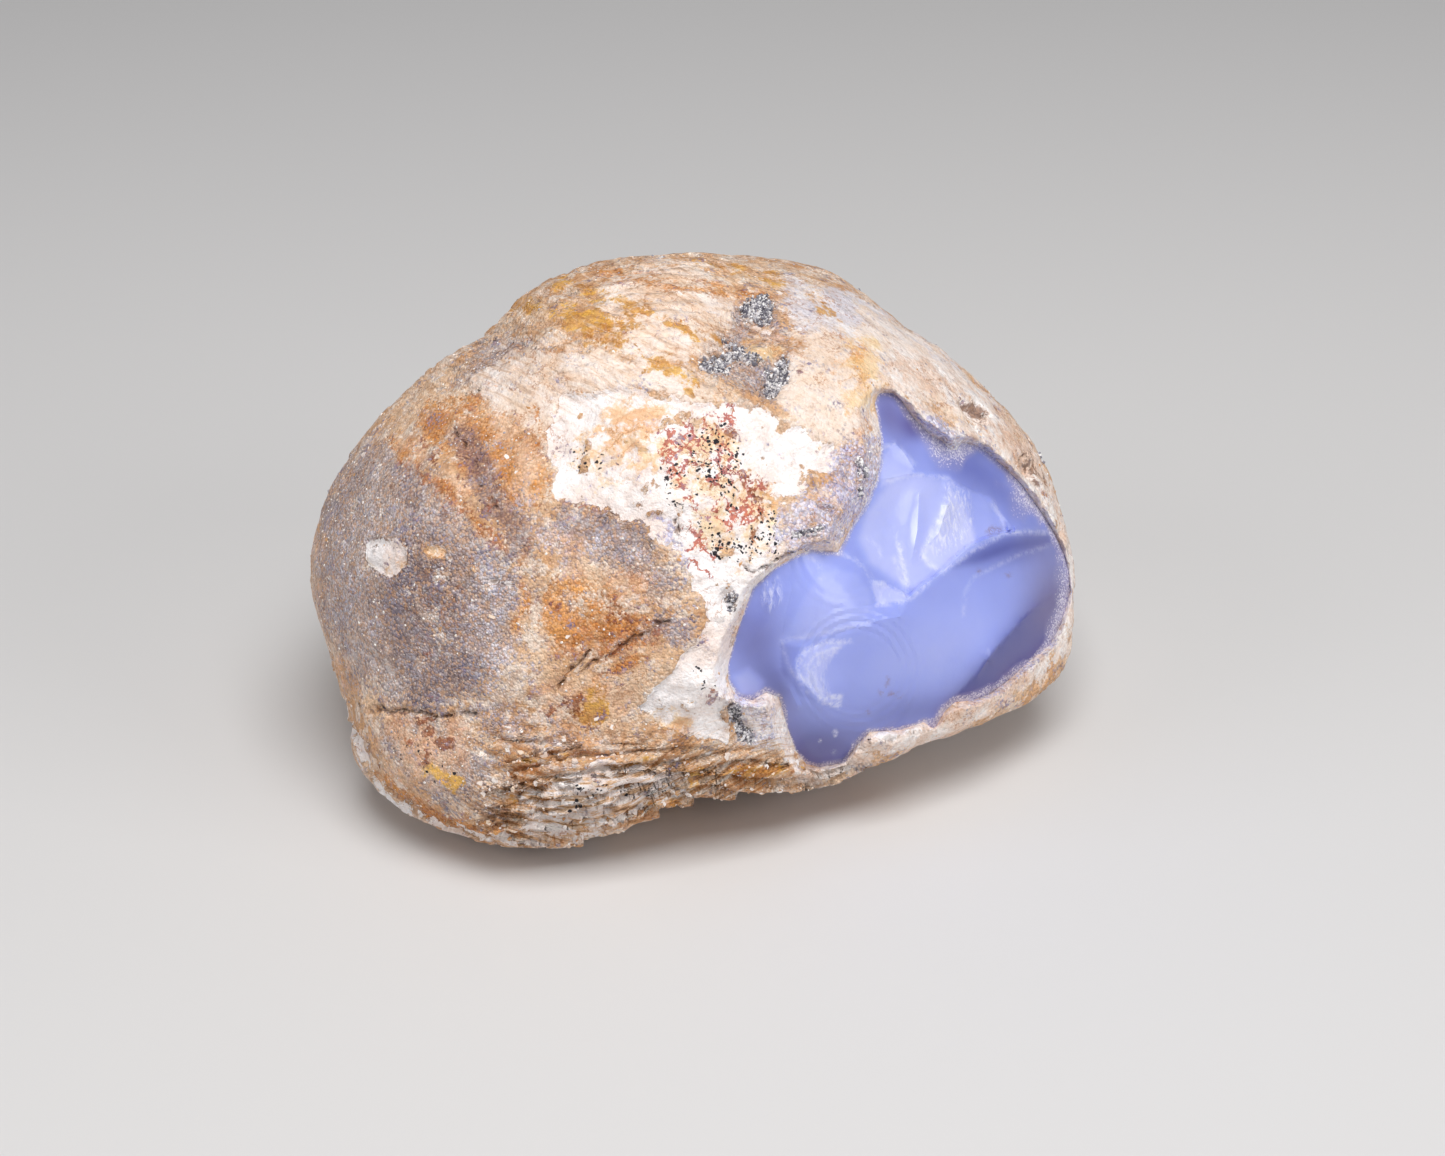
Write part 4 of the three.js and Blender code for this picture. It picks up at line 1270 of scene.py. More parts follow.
def per_mm(size):
    """The scale of a pattern on Object coordinates, in metres, whose grain is `size` mm."""
    return 1.0 / (size * MM)


# The rind's coverings, from the bottom up: how soft the covering's edge is, how far single
# grains scatter over that edge, how torn the edge is (below 0 it is drawn out into a net of
# veins), how much of it covers, how far its tint goes grain by grain, its roughness, how grainy
# it is, and how dark the painted shadow line along its broken edge is.
COVERINGS = {
    "grey": (0.3, 0.6, 0.9, 0.88, 0.45, 0.62, 1.0, 0.0),
    "milk": (0.3, 0.3, 1.0, 0.9, 0.1, 0.42, 0.12, 0.0),
    "cream": (0.2, 0.15, 1.2, 0.85, 0.0, 0.5, 0.12, 0.0),
    "rust": (0.26, 0.5, 1.6, 0.82, 0.35, 0.85, 0.8, 0.0),
    "peach": (0.32, 0.4, 1.8, 0.82, 0.3, 0.75, 0.6, 0.0),
    "crust": (0.16, 0.2, 1.6, 0.92, 0.2, 0.6, 0.3, 0.0),
    "gloom": (0.42, 0.5, 1.4, 0.66, 0.45, 0.62, 1.0, 0.0),
    "frost": (0.34, 0.7, 2.2, 0.74, 0.7, 0.42, 1.1, 0.0),
    "yellow": (0.18, 0.3, 3.0, 0.85, 0.25, 0.7, 0.5, 0.0),
    "chalk": (0.06, 0.06, 1.2, 0.97, 0.0, 0.7, 0.15, 0.75),
    "stain": (0.45, 0.3, -6.0, 0.75, 0.3, 0.75, 0.2, 0.0),
    "pink": (0.2, 0.5, -14.0, 0.88, 0.5, 0.75, 0.3, 0.0),
    "ember": (0.14, 0.4, 3.0, 0.85, 0.4, 0.8, 0.5, 0.0),
    "druse": (0.12, 0.35, 0.8, 0.92, 0.65, 0.3, 1.2, 0.0),
    "crease": (0.2, 0.3, 1.4, 0.8, 0.2, 0.9, 0.4, 0.0),
    "lilac": (0.34, 0.6, 1.8, 0.85, 0.6, 0.4, 0.8, 0.0),
}
# Crumbs on the grainy coverings: which noise, where they start and are full in it, how much
# of them shows, and their tint.
CRUMBS = [
    ("middling", 2, 0.58, 0.62, 0.7, "#f9ede4"), ("middling", 0, 0.61, 0.65, 0.6, "#8f6647"),
    ("fine", 1, 0.58, 0.64, 0.45, "#fbf4ee"),
]
# The streaks of the layers: where each starts and is full in the streaky noise, its tint, and
# how that is laid over the rind.
STREAKS = [
    (0.47, 0.57, "#dba95c", "MULTIPLY"), (0.56, 0.62, "#946438", "MIX"),
    (0.44, 0.38, "#fdf4ea", "MIX"), (0.63, 0.68, "#4c382a", "MIX"),
]


def covered(material, base, tint, share=1.0, rise=None, how="MIX"):
    """A base with a tint laid over it, in that share. `rise` is a value and two ends: the tint
    starts where the value is at the first end, and has its whole share from the second."""
    if rise:
        value, start, full = rise
        share = add_node(material, "MapRange", {
            "Value": value, "From Min": start, "From Max": full, "To Max": share,
        }, interpolation_type="SMOOTHSTEP")
    return add_node(material, "Mix", {
        SHARE: share, BELOW: base, OVER: tint,
    }, MIXED, data_type="RGBA", blend_type=how)


def three_noises(material, place, size, detail, rough):
    """Three unlike noises whose largest lumps are about `size` mm across."""
    clouds = add_node(material, "TexNoise", {
        "Vector": place, "Scale": per_mm(2.0 * size), "Detail": detail, "Roughness": rough,
    }, "Color")
    return add_node(material, "SeparateColor", {"Color": clouds}, CHANNELS)


def cells(material, place, size):
    """Cells about `size` m wide: how far off its cell's middle a place is, and three numbers
    from 0 to 1 that each cell has of its own."""
    away, luck = add_node(material, "TexVoronoi", {
        "Vector": place, "Scale": 1.0 / size,
    }, ("Distance", "Color"))
    return away, add_node(material, "SeparateColor", {"Color": luck}, CHANNELS)


def streaky_noise(material, place, shares):
    """Noise drawn out along the rind's layers, which wave a little."""
    flow = add_node(material, "CombineXYZ", {
        "X": shares["flow_along"], "Y": shares["flow_over"],
    })
    waves = add_node(material, "TexNoise", {
        "Vector": place, "Scale": per_mm(9.0), "Detail": 2.0,
    }, "Color")
    waved = add_node(material, "VectorMath", {
        0: waves, 1: (3.0, 3.0, 0.0), 2: flow,
    }, operation="MULTIPLY_ADD")
    stretched = add_node(material, "Mapping", {
        "Vector": waved, "Scale": (0.2, 1.25, 1.0),
    })
    return add_node(material, "TexNoise", {
        "Vector": stretched, "Scale": 1.0, "Detail": 6.0, "Roughness": 0.7,
    })


def weathered_rind(look):
    """Weathered silica rind: powdery and stained, laid down as sugary quartz, chalky opal and
    iron oxide. It is matt and mottled down to its grains, with dark manganese specks. Shade is
    painted into its creases and pits, and as a dark line along the chalk's broken edge."""
    material = bare_material("weathered_rind")
    place = add_node(material, "TexCoord", out="Object")
    shares = {
        name: add_node(material, "Attribute", out="Fac", attribute_name=name)
        for name in (*BACK_COVER, *FLOW_SHARES)
    }
    noises = {
        "broad": three_noises(material, place, 4.5, 5.0, 0.6),
        "middling": three_noises(material, place, 1.4, 4.0, 0.65),
        "fine": three_noises(material, place, 0.45, 3.0, 0.7),
    }
    broad, middling, fine = noises.values()
    grains, luck = cells(material, place, look.grain_size)
    # The bare rind: tan, browner and paler in clouds.
    base = covered(material, opaque(look.bare_light), opaque(look.bare_dark),
                   rise=(broad[0], 0.4, 0.62))
    base = covered(material, base, opaque(look.bare_crumb), 0.75, (middling[0], 0.5, 0.57))
    base = covered(material, base, opaque(look.bare_stain), 0.6, (middling[1], 0.6, 0.64))
    rough, grainy = 0.82, 0.6
    for index, (kind, covering) in enumerate(COVERINGS.items()):
        chosen = (broad[index % 3], middling[(index + 1) % 3], fine[(index + 2) % 3], luck[2])
        tints = [opaque(getattr(look, kind + end)) for end in ("_light", "_dark")]
        layers = (base, rough, grainy)
        base, rough, grainy = lay_covering(
            material, shares[kind], chosen, covering, tints, opaque(look.crease_light), layers)
    # The grains' own relief over the powdery one.
    relief = add_node(material, "Math", {0: grains, 1: grainy}, operation="MULTIPLY")
    relief = add_node(material, "Math", {0: relief, 1: -0.4, 2: middling[1]},
                      operation="MULTIPLY_ADD")
    relief = add_node(material, "Math", {0: fine[0], 1: 0.6, 2: relief},
                      operation="MULTIPLY_ADD")
    # White crumbs and brown ones are strewn on the grainy coverings, and dust fills hollows.
    strewn = add_node(material, "MapRange", {
        "Value": broad[1], "From Min": 0.47, "From Max": 0.62,
    }, interpolation_type="SMOOTHSTEP")
    strewn = add_node(material, "Math", {0: strewn, 1: grainy}, operation="MULTIPLY",
                      use_clamp=True)
    for clouds, channel, start, full, share, tint in CRUMBS:
        crumbs = add_node(material, "Math", {0: strewn, 1: share}, operation="MULTIPLY")
        base = covered(material, base, linear(tint), crumbs,
                       (noises[clouds][channel], start, full))
    dusty = add_node(material, "Math", {0: grainy, 1: 0.4, 2: 0.18},
                     operation="MULTIPLY_ADD", use_clamp=True)
    base = covered(material, base, opaque(look.dust), dusty, (relief, 0.68, 0.5), "MULTIPLY")
    # Layers of the rind show as fine brown streaks.
    streaks = streaky_noise(material, place, shares)
    layered = add_node(material, "Math", {0: shares["layered"], 1: 0.75}, operation="MULTIPLY")
    for start, full, tint, how in STREAKS:
        base = covered(material, base, linear(tint), layered, (streaks, start, full), how)
    # Fine rusty veins, only here and there.
    vein = add_node(material, "Math", {0: middling[2], 1: 0.5, 2: 0.012}, operation="COMPARE")
    vein = add_node(material, "Math", {0: vein, 1: 0.55}, operation="MULTIPLY")
    base = covered(material, base, linear("#a8642a"), vein, (broad[2], 0.5, 0.6))
    # Single sugary grains: darker or paler than their neighbours, and some of them tan.
    grain_light = add_node(material, "MapRange", {
        "Value": luck[0], "To Min": 0.55, "To Max": 1.35,
    })
    shown = add_node(material, "Math", {0: grainy, 1: 0.75},
                     operation="MULTIPLY", use_clamp=True)
    base = covered(material, base, grain_light, shown, how="MULTIPLY")
    some, most = [
        add_node(material, "Math", {0: grainy, 1: share}, operation="MULTIPLY")
        for share in (0.55, 0.8)
    ]
    tan = add_node(material, "MapRange", {
        "Value": luck[1], "From Min": 0.72, "From Max": 0.8, "To Max": some,
    }, interpolation_type="SMOOTHSTEP")
    base = covered(material, base, linear("#d3a27a"), tan, (shares["druse"], 0.6, 0.3))
    # A few grains turn a smooth face to the light.
    glint = add_node(material, "MapRange", {
        "Value": luck[2], "From Min": 0.86, "From Max": 0.9, "To Max": most,
    }, interpolation_type="SMOOTHSTEP")
    rough = add_node(material, "Mix", {0: glint, 2: rough, 3: 0.15})
    base = lay_specks(material, look, place, shares["speck"], base)
    bump = add_node(material, "Bump", {
        "Height": relief, "Strength": 0.9, "Distance": 0.62 * MM,
    })
    surface = add_node(material, "BsdfPrincipled", {
        "Base Color": base, "Roughness": rough, "Normal": bump, "IOR": 1.5,
    })
    add_node(material, "OutputMaterial", {"Surface": surface})
    return material


def lay_covering(material, share, noises, covering, tints, edge_shadow_tint, layers):
    """Lays one covering over the rind: its colour, roughness and graininess, and a painted shadow line
    along its edge.
    """
    soft, scatter, torn, cover, speckle, own_rough, own_grain, edge_shadow = covering
    cloud, patch, crumb, luck = noises
    base, rough, grainy = layers
    tears = add_node(material, "Math", {0: patch, 1: 0.5}, operation="SUBTRACT")
    if torn < 0:
        tears = add_node(material, "Math", {0: tears}, operation="ABSOLUTE")
    ragged = share
    for values, amount in ((crumb, 0.9), (luck, scatter), (tears, torn)):
        ragged = add_node(material, "Math", {0: values, 1: amount, 2: ragged},
                          operation="MULTIPLY_ADD")
    # With its noises at their middle value, a share of a half comes to this.
    middle = 0.95 + 0.5 * scatter
    over = add_node(material, "MapRange", {
        "Value": ragged, "From Min": middle - soft, "From Max": middle + soft, "To Max": cover,
    }, interpolation_type="SMOOTHSTEP")
    mottled = add_node(material, "Math", {0: cloud, 1: 1.3, 2: patch}, operation="MULTIPLY_ADD")
    mottled = add_node(material, "MapRange", {
        "Value": mottled, "From Min": 0.95, "From Max": 1.4,
    }, interpolation_type="SMOOTHSTEP")
    mottled = add_node(material, "Mix", {0: speckle, 2: mottled, 3: luck})
    tint = covered(material, *tints, mottled)
    # A painted shadow: a thin dark line in the crease tint along the covering's broken edge, where its
    # step would throw shade.
    if edge_shadow:
        off_edge = add_node(material, "Math", {0: ragged, 1: middle - 0.03}, operation="SUBTRACT")
        off_edge = add_node(material, "Math", {0: off_edge}, operation="ABSOLUTE")
        line = add_node(material, "MapRange", {
            "Value": cloud, "From Min": 0.4, "From Max": 0.6, "To Max": edge_shadow,
        }, interpolation_type="SMOOTHSTEP")
        base = covered(material, base, edge_shadow_tint, line, (off_edge, 0.07, 0.02))
    rough, grainy = [
        add_node(material, "Mix", {0: over, 2: below, 3: own})
        for below, own in ((rough, own_rough), (grainy, own_grain))
    ]
    return covered(material, base, tint, over), rough, grainy


def lay_specks(material, look, place, share, base):
    """Manganese specks: black crystals of a quarter of a millimetre to one, in small crowds."""
    crowds = three_noises(material, place, 1.7, 2.0, 0.5)
    jagged = add_node(material, "VectorMath", {
        0: add_node(material, "TexNoise", {
            "Vector": place, "Scale": per_mm(0.4), "Detail": 2.0,
        }, "Color"),
        1: (0.45 * MM, 0.45 * MM, 0.45 * MM), 2: place,
    }, operation="MULTIPLY_ADD")
    for crowd, size in zip(crowds, (1.0, 0.62)):
        dots, luck = cells(material, jagged, size * look.speck_size)
        allowed = share
        for values, amount in ((crowd, 2.2), (luck[1], 0.5)):
            allowed = add_node(material, "Math", {0: values, 1: amount, 2: allowed},
                               operation="MULTIPLY_ADD")
        allowed = add_node(material, "MapRange", {
            "Value": allowed, "From Min": 2.47, "From Max": 2.5,
        }, interpolation_type="SMOOTHSTEP")
        base = covered(material, base, opaque(look.speck), allowed, (dots, 0.42, 0.3))
    return base


# The window's colour fields on the facing sheet: (across, up, wide, high, turn, tone, mauve).
# They are mostly painted light and shade: the lit middle and left of the slab are painted
# lighter, and the left strip, the foot of the slab, its lower edge, the lower right band, the
# place under the step and the wall are painted darker, where shade falls. The torn crescent's
# white and the mauve near the rind are the stone's own. `tone` darkens from the lit lavender to
# the deep blue and `mauve` greys it; sizes are in mm and the turn in degrees.
TONES_AND_SHADING = {
    "lit middle of the slab": (27.0, -9.0, 11.0, 5.5, 20, -0.16, 0.0),
    "lit left of the slab": (14.0, -3.5, 7.0, 4.5, 10, -0.10, 0.0),
    "left strip": (4.5, -7.5, 3.0, 5.0, -15, 0.18, 0.28),
    "left strip below": (6.5, -13.0, 2.0, 3.0, 20, 0.22, 0.1),
    "foot of the slab": (12.5, -21.5, 6.0, 3.4, 0, 0.42, 0.35),
    "lower edge": (23.0, -16.5, 6.0, 2.6, 10, 0.25, 0.1),
    "lower right band": (36.0, -10.8, 10.0, 2.6, 48, 1.1, 0.35),
    "brown end of the band": (40.6, -4.4, 3.4, 3.0, 48, 0.1, 0.3),
    "right end": (41.0, -0.5, 3.4, 5.0, 0, 0.16, 0.5),
    "under the step": (36.0, 3.2, 5.5, 1.8, 12, 0.26, 0.05),
    "wall": (31.5, 13.3, 7.5, 2.6, -35, 0.28, 0.0),
    "wall by the step": (36.6, 8.0, 2.4, 2.5, 0, 0.1, 0.0),
    "tip": (20.6, 20.5, 2.0, 3.5, 20, 0.2, 0.45),
    "tip, right": (24.0, 19.0, 1.6, 1.6, 20, 0.4, 0.5),
    "torn crescent": (12.0, -11.5, 2.5, 3.2, 0, -0.08, 0.0),
}
# Facets with crisp edges, painted lighter where they face the light and darker where they lie in shade,
# as the dark band, the shadow of the step and the shade by the crescent do: (edge width, tone, points),
# in mm.
PAINTED_FACET_LIGHT = {
    "bowl": (1.7, -0.28, [
        (20.6, 11.9), (23.8, 12.8), (27.9, 12.4), (29.2, 11), (30.3, 8.1), (31.4, 4.3),
        (29.5, 2.7), (27.3, 0.8), (24.1, -1.7), (21.3, -0.4), (18.1, 1.8), (16.8, 4.9),
        (17.8, 8.1), (19.3, 10.3)]),
    "right lobe": (0.6, -0.12, [
        (27.6, 9.4), (29, 10.7), (30.3, 7.5), (31.4, 4.3), (29.5, 2.7), (27.6, 0.8),
        (25.4, 1.6), (24.6, 3), (26, 5.6), (27, 7.5)]),
    "facet past the lobe": (0.5, -0.14, [
        (29.2, 11.3), (33.3, 10), (35.5, 5.6), (32.3, 4.9), (30.8, 4.3), (30.1, 7.5)]),
    "corner": (0.5, -0.22, [
        (20, 15.4), (21.3, 16.7), (22.5, 15.7), (23.8, 14.1), (23.2, 12.9), (20.6, 11.9),
        (19.7, 11.3), (19.5, 14.1)]),
    "left lobe": (0.8, -0.08, [
        (9.5, -3.3), (8.6, -5.8), (7.1, -7.7), (8.6, -8), (11.7, -7.4), (16.8, -6),
        (18.7, -3.9), (18.1, -1.4), (16.8, 0.5), (14.3, 1.1), (12.1, 0.5)]),
    "wedge": (0.3, -0.24, [
        (18.5, -0.4), (20.0, -0.7), (23.4, -2.4), (22.6, -2.9), (19.2, -3.4)]),
    "dark band": (0.7, 0.42, [
        (28.1, -15.8), (31.0, -12.7), (34.4, -8.4), (38.2, -4.4), (41.8, -1.6), (44.5, -4),
        (41, -10), (34, -17), (28, -19)]),
    "shadow of the step": (1.3, 0.18, [
        (28.4, 1.2), (31, 3.2), (35, 5.4), (40.8, 5.6), (41, 4.2), (36, 3.6), (31.6, 1.8)]),
    "crescent": (0.4, -0.13, [
        (15.8, -7.8), (12.8, -8.0), (10.4, -9.0), (9.4, -10.5), (9.6, -12.2), (11.3, -13.9),
        (12.6, -15.4), (14.5, -15.9), (14.3, -14.8), (12.8, -13.9), (12.3, -12.2), (13.4, -10.1)]),
    "shade by the crescent": (0.5, 0.12, [
        (7.2, -8.2), (10.2, -8.6), (8.8, -10.5), (9.1, -12.4), (11.8, -15.4), (9.4, -14.6),
        (7.4, -11.6)]),
    "left bump": (1.2, -0.25, [
        (1.3, -12.2), (3.2, -11.2), (5.1, -12.8), (4.8, -14.7), (2.2, -14.7)]),
}
# Where the break is bruised white, with white highlights painted along its ridges and streaks: (reach,
# strength, points), in mm.
BRUISES_AND_HIGHLIGHTS = {
    "bowl streak": (0.05, 0.6, [(21.9, 4.3), (22.3, 2.4), (22.6, 0.5), (23.0, -0.9)]),
    "beside the streak": (0.0, 0.4, [(21.3, 2.6), (21.9, 0.6), (22.6, -1.0)]),
    "short streak": (0.05, 0.3, [(18.1, 4.9), (19.3, 3.7), (19.7, 2.7)]),
    "edge of the lobe": (0.12, 0.4, [(27.7, 8.8), (26, 5.9), (24.7, 2.7), (26, 1.5), (27.3, 0.8)]),
    "brow": (0.05, 0.3, [(20.6, 11.9), (23.8, 12.8), (27.9, 12.4), (29.3, 11)]),
    "top of the slab": (0.0, 0.3, [(14, 3.4), (16.8, 2.1), (18.4, 0.2)]),
    "top of the wedge": (0.0, 0.4, [(18.5, -0.4), (20.0, -0.7), (23.4, -2.4)]),
    "foot of the wedge": (0.0, 0.4, [(19.2, -3.4), (22.6, -2.9), (23.6, -2.4), (25.6, -0.6)]),
    "edge of the corner": (0.0, 0.25, [(19.7, 16), (21.4, 16.7), (23.9, 14.1), (23.2, 12.8)]),
    "facet line": (0.05, 0.3, [(33.6, 9.4), (35.5, 5.6)]),
    "step": (0.05, 0.3, [(27.3, 0.8), (31, 3.3), (35.0, 5.5), (38, 5.8), (41.2, 5.6)]),
    "crack": (0.0, 0.2, [(10, 3), (12.1, 1.8), (12.2, -0.1)]),
    "faint line": (0.0, 0.18, [(41.2, 4.3), (36.5, 2.7), (31.2, 0.1), (30.2, -1.7), (29.9, -4.6)]),
    "edge of the crescent": (0.05, 0.55, [
        (15.8, -7.8), (12.8, -8.0), (10.4, -9.0), (9.4, -10.5), (9.6, -12.2), (11.3, -13.9),
        (12.6, -15.4), (14.5, -15.9)]),
    "second arc": (0.0, 0.35, [(14.6, -8.6), (11.4, -9.6), (10.3, -11), (10.8, -12.8), (12.6, -14.4)]),
    "third arc": (0.0, 0.3, [(14, -9.4), (12.2, -10.2), (11.2, -11.6), (11.8, -13.2)]),
    "outer arc": (0.0, 0.2, [(7.2, -8.0), (7.8, -9.7), (8.6, -11.6), (10.6, -14.4)]),
    "hook": (0.1, 0.55, [(12.9, -14.9), (14.6, -14.7), (14.3, -15.9)]),
    "lobe foot": (0.0, 0.25, [(7.1, -7.8), (12.4, -6.9), (18.3, -5.5)]),
    "drop": (-0.06, 1.4, [(14.0, -19.1), (14.0, -19.4)]),
    "drop by the foot": (-0.1, 1.2, [(13.8, -21.5), (13.8, -21.6)]),
    "drop at the left": (-0.12, 1.2, [(12.1, -20.2), (12.1, -20.3)]),
}

# Specks of rust on the window: (reach, points), in mm.
SOILS = {
    "smear": (0.25, [(19.8, -14.2), (21.0, -14.5), (22.0, -14.6)]),
    "speck under the step": (0.12, [(35.4, 0.5), (35.6, 0.3)]),
    "dust on the step": (0.4, [(33.2, 5.8), (34.2, 6.1)]),
    "dot": (0.1, [(31.8, 0.9), (31.9, 0.8)]),
    "dot by the mouth": (0.1, [(18.0, -16.6), (18.2, -16.8)]),
    "stroke": (0.05, [(20.6, -12.4), (20.3, -13.9)]),
    "dot under the slab": (0.05, [(22.9, -15.6), (22.9, -15.8)]),
}
# The names under which the stone's points keep what `window_tones` finds.
WINDOW_SHARES = ("tone", "mauve", "bruise_and_highlight", "hackle", "soil")


def window_tones(across, up):
    """How dark, mauve, bruised, torn and soiled the window is at each place; its darkness holds the
    painted light and shade of the facets, and its bruises the highlights painted on the ridges.
    """
    tone = np.full(len(across), 0.47)
    mauve = np.zeros(len(across))
    bruise_and_highlight = np.zeros(len(across))
    for at_across, at_up, wide, high, turn, darker, greyer in TONES_AND_SHADING.values():
        angle = math.radians(turn)
        along = (across - at_across) * math.cos(angle) + (up - at_up) * math.sin(angle)
        over = (up - at_up) * math.cos(angle) - (across - at_across) * math.sin(angle)
        share = np.exp(-(along / wide) ** 2 - (over / high) ** 2)
        tone += darker * share
        mauve += greyer * share
    for fade, darker, outline in PAINTED_FACET_LIGHT.values():
        tone += darker * patch_share(across, up, "area", 0.0, fade, outline)
    for reach, strength, line in BRUISES_AND_HIGHLIGHTS.values():
        share = patch_share(across, up, "line", reach + 0.2, 0.5, line)
        bruise_and_highlight = np.maximum(bruise_and_highlight, strength * share)
    hackle = np.zeros(len(across))
    for kind, reach, fade, depth, outline in HACKLES.values():
        share = patch_share(across, up, kind, reach, fade, outline)
        hackle = np.maximum(hackle, min(1.0, 3.2 * depth) * share)
    soil = np.zeros(len(across))
    for reach, line in SOILS.values():
        soil = np.maximum(soil, patch_share(across, up, "line", reach + 0.1, 0.6, line))
    return np.clip(tone, 0, 1), np.clip(mauve, 0, 1), bruise_and_highlight, hackle, soil


def broken_chalcedony(look):
    """Freshly broken blue chalcedony: waxy, cloudy and lit from inside, with a white frost of
    tiny quartz along its rim where it grows out of the rind, and white where it is bruised.
    Light and shade are painted on its facets, and white highlights along its ridges."""
    material = bare_material("broken_chalcedony")
    place = add_node(material, "TexCoord", out="Object")
    tone, mauve, bruise_and_highlight, hackle, soil, rim = [
        add_node(material, "Attribute", out="Fac", attribute_name=name)
        for name in (*WINDOW_SHARES, "rim")
    ]
    clouds = three_noises(material, place, 5.5, 3.0, 0.5)
    frost_noise = three_noises(material, place, 0.5, 4.0, 0.75)
    # The tone runs the colour from the pale lavender to the deep blue: partly the stone's own depth of
    # blue, mostly the painted light and shade of its facets.
    mottled = add_node(material, "Math", {0: clouds[0], 1: 0.3, 2: tone},
                       operation="MULTIPLY_ADD")
    colour = covered(material, opaque(look.pale), opaque(look.middle), rise=(mottled, 0.1, 0.6))
    colour = covered(material, colour, opaque(look.deep), rise=(mottled, 0.5, 1.15))
    colour = covered(material, colour, opaque(look.mauve), mauve)
    # The frost thins out from the rim, first a haze and then single crystals.
    crystals, luck = cells(material, place, look.frost_size)
    frosted = add_node(material, "Math", {0: clouds[1], 1: 1.4, 2: rim},
                       operation="MULTIPLY_ADD")
    colour = covered(material, colour, opaque(look.haze), 0.7, (frosted, 1.55, 0.75))
    frosted = add_node(material, "Math", {0: luck[0], 1: 0.9, 2: frosted},
                       operation="MULTIPLY_ADD")
    frost = add_node(material, "MapRange", {
        "Value": frosted, "From Min": 1.46, "From Max": 1.1, "To Max": 0.72,
    }, interpolation_type="SMOOTHSTEP")
    crystal_tint = covered(material, linear("#b9b3cf"), linear("#f6f2f6"), luck[1])
    colour = covered(material, colour, crystal_tint, frost)
    # White where the break is bruised, and white highlights painted along the ridges and streaks.
    colour = covered(material, colour, opaque(look.bruise_and_highlight), bruise_and_highlight, (frost_noise[1], 0.35, 0.6))
    # Hackles: fine torn lines, a quarter of a millimetre apart, which scatter white.
    combed = add_node(material, "Mapping", {
        "Vector": place, "Rotation": (0.0, -LEAN, 0.0),
        "Scale": (per_mm(0.4), per_mm(0.9), per_mm(1.5)),
    })
    torn = add_node(material, "TexNoise", {
        "Vector": combed, "Scale": 1.0, "Detail": 4.0, "Roughness": 0.7, "Distortion": 0.6,
    })
    torn_share = add_node(material, "Math", {0: hackle, 1: 0.75}, operation="MULTIPLY")
    colour = covered(material, colour, opaque(look.bruise_and_highlight), torn_share, (torn, 0.44, 0.72))
    soiled = add_node(material, "Math", {0: soil, 1: 0.6}, operation="MULTIPLY")
    colour = covered(material, colour, opaque(look.soil), soiled, (frost_noise[2], 0.42, 0.62))
    rough = add_node(material, "MapRange", {
        "Value": frost, "To Min": 0.2, "To Max": 0.6,
    })
    relief = add_node(material, "TexNoise", {
        "Vector": place, "Scale": per_mm(0.9), "Detail": 4.0, "Roughness": 0.6,
    })
    for height, shown, amount in ((crystals, frost, -2.0), (torn, hackle, 6.0)):
        height = add_node(material, "Math", {0: height, 1: shown}, operation="MULTIPLY")
        relief = add_node(material, "Math", {0: height, 1: amount, 2: relief},
                          operation="MULTIPLY_ADD")
    bump = add_node(material, "Bump", {
        "Height": relief, "Strength": 0.3, "Distance": 0.1 * MM,
    })
    surface = add_node(material, "BsdfPrincipled", {
        "Base Color": colour, "Roughness": rough, "Normal": bump, "IOR": 1.54,
        "Subsurface Weight": 0.3, "Subsurface Radius": (1.0, 1.2, 2.0),
        "Subsurface Scale": 1.2 * MM,
    })
    add_node(material, "OutputMaterial", {"Surface": surface})
    return material


# Edges of the broken face that bend by more than this are sharp.
SHARP_BEND = math.radians(15)


def finish_surface(stone):
    """Gives the stone's points the shares that its materials read, and its sharp edges."""
    mesh = stone.data
    points = read_points(mesh)
    normals = read_normals(mesh)
    across, up, _ = on_sheet(points)
    for kind, share in patch_masks(points, normals).items():
        write_share(mesh, kind, share)
    for name, share in zip(FLOW_SHARES, flow_of(across, up)):
        write_share(mesh, name, share)
    for name, share in zip(WINDOW_SHARES, window_tones(across, up)):
        write_share(mesh, name, share)
    # The frost along the rim is wider at the right, and widest at the upper right.
    width = 0.7 + 1.5 * smooth_step(18.0, 36.0, across)
    width += 3.2 * smooth_step(4.0, 14.0, up) * smooth_step(21.0, 29.0, across)
    width *= np.clip(0.8 + 0.9 * cloudy(points, 7.0, 3, 4.0), 0.25, 1.8)
    write_share(mesh, "rim", line_distance(across, up, WINDOW_OUTLINE, True) / width)
    work = bmesh.new()
    work.from_mesh(mesh)
    for edge in work.edges:
        slots = {face.material_index for face in edge.link_faces}
        bend = edge.calc_face_angle(0.0)
        edge.smooth = len(slots) == 1 and (RIND_SLOT in slots or bend < SHARP_BEND)
    for face in work.faces:
        face.smooth = True
    work.to_mesh(mesh)
    work.free()


# ------------------------------------------------------------------ buttons


class NODULE_OT_stone(bpy.types.Operator):
    """Build the stone: its skin, its weathering and its broken window"""

    bl_idname = "nodule.stone"
    bl_label = "Stone"

    def execute(self, context):
        scene = context.scene
        stone = stone_skin()
        weather(stone, scene.nodule_rind)
        cut_window(stone, scene.nodule_window)
        finish_surface(stone)
        stone.data.materials[RIND_SLOT] = weathered_rind(scene.nodule_rind)
        stone.data.materials[WINDOW_SLOT] = broken_chalcedony(scene.nodule_window)
        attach(stone, "root")
        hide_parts("nodule")
        return {"FINISHED"}


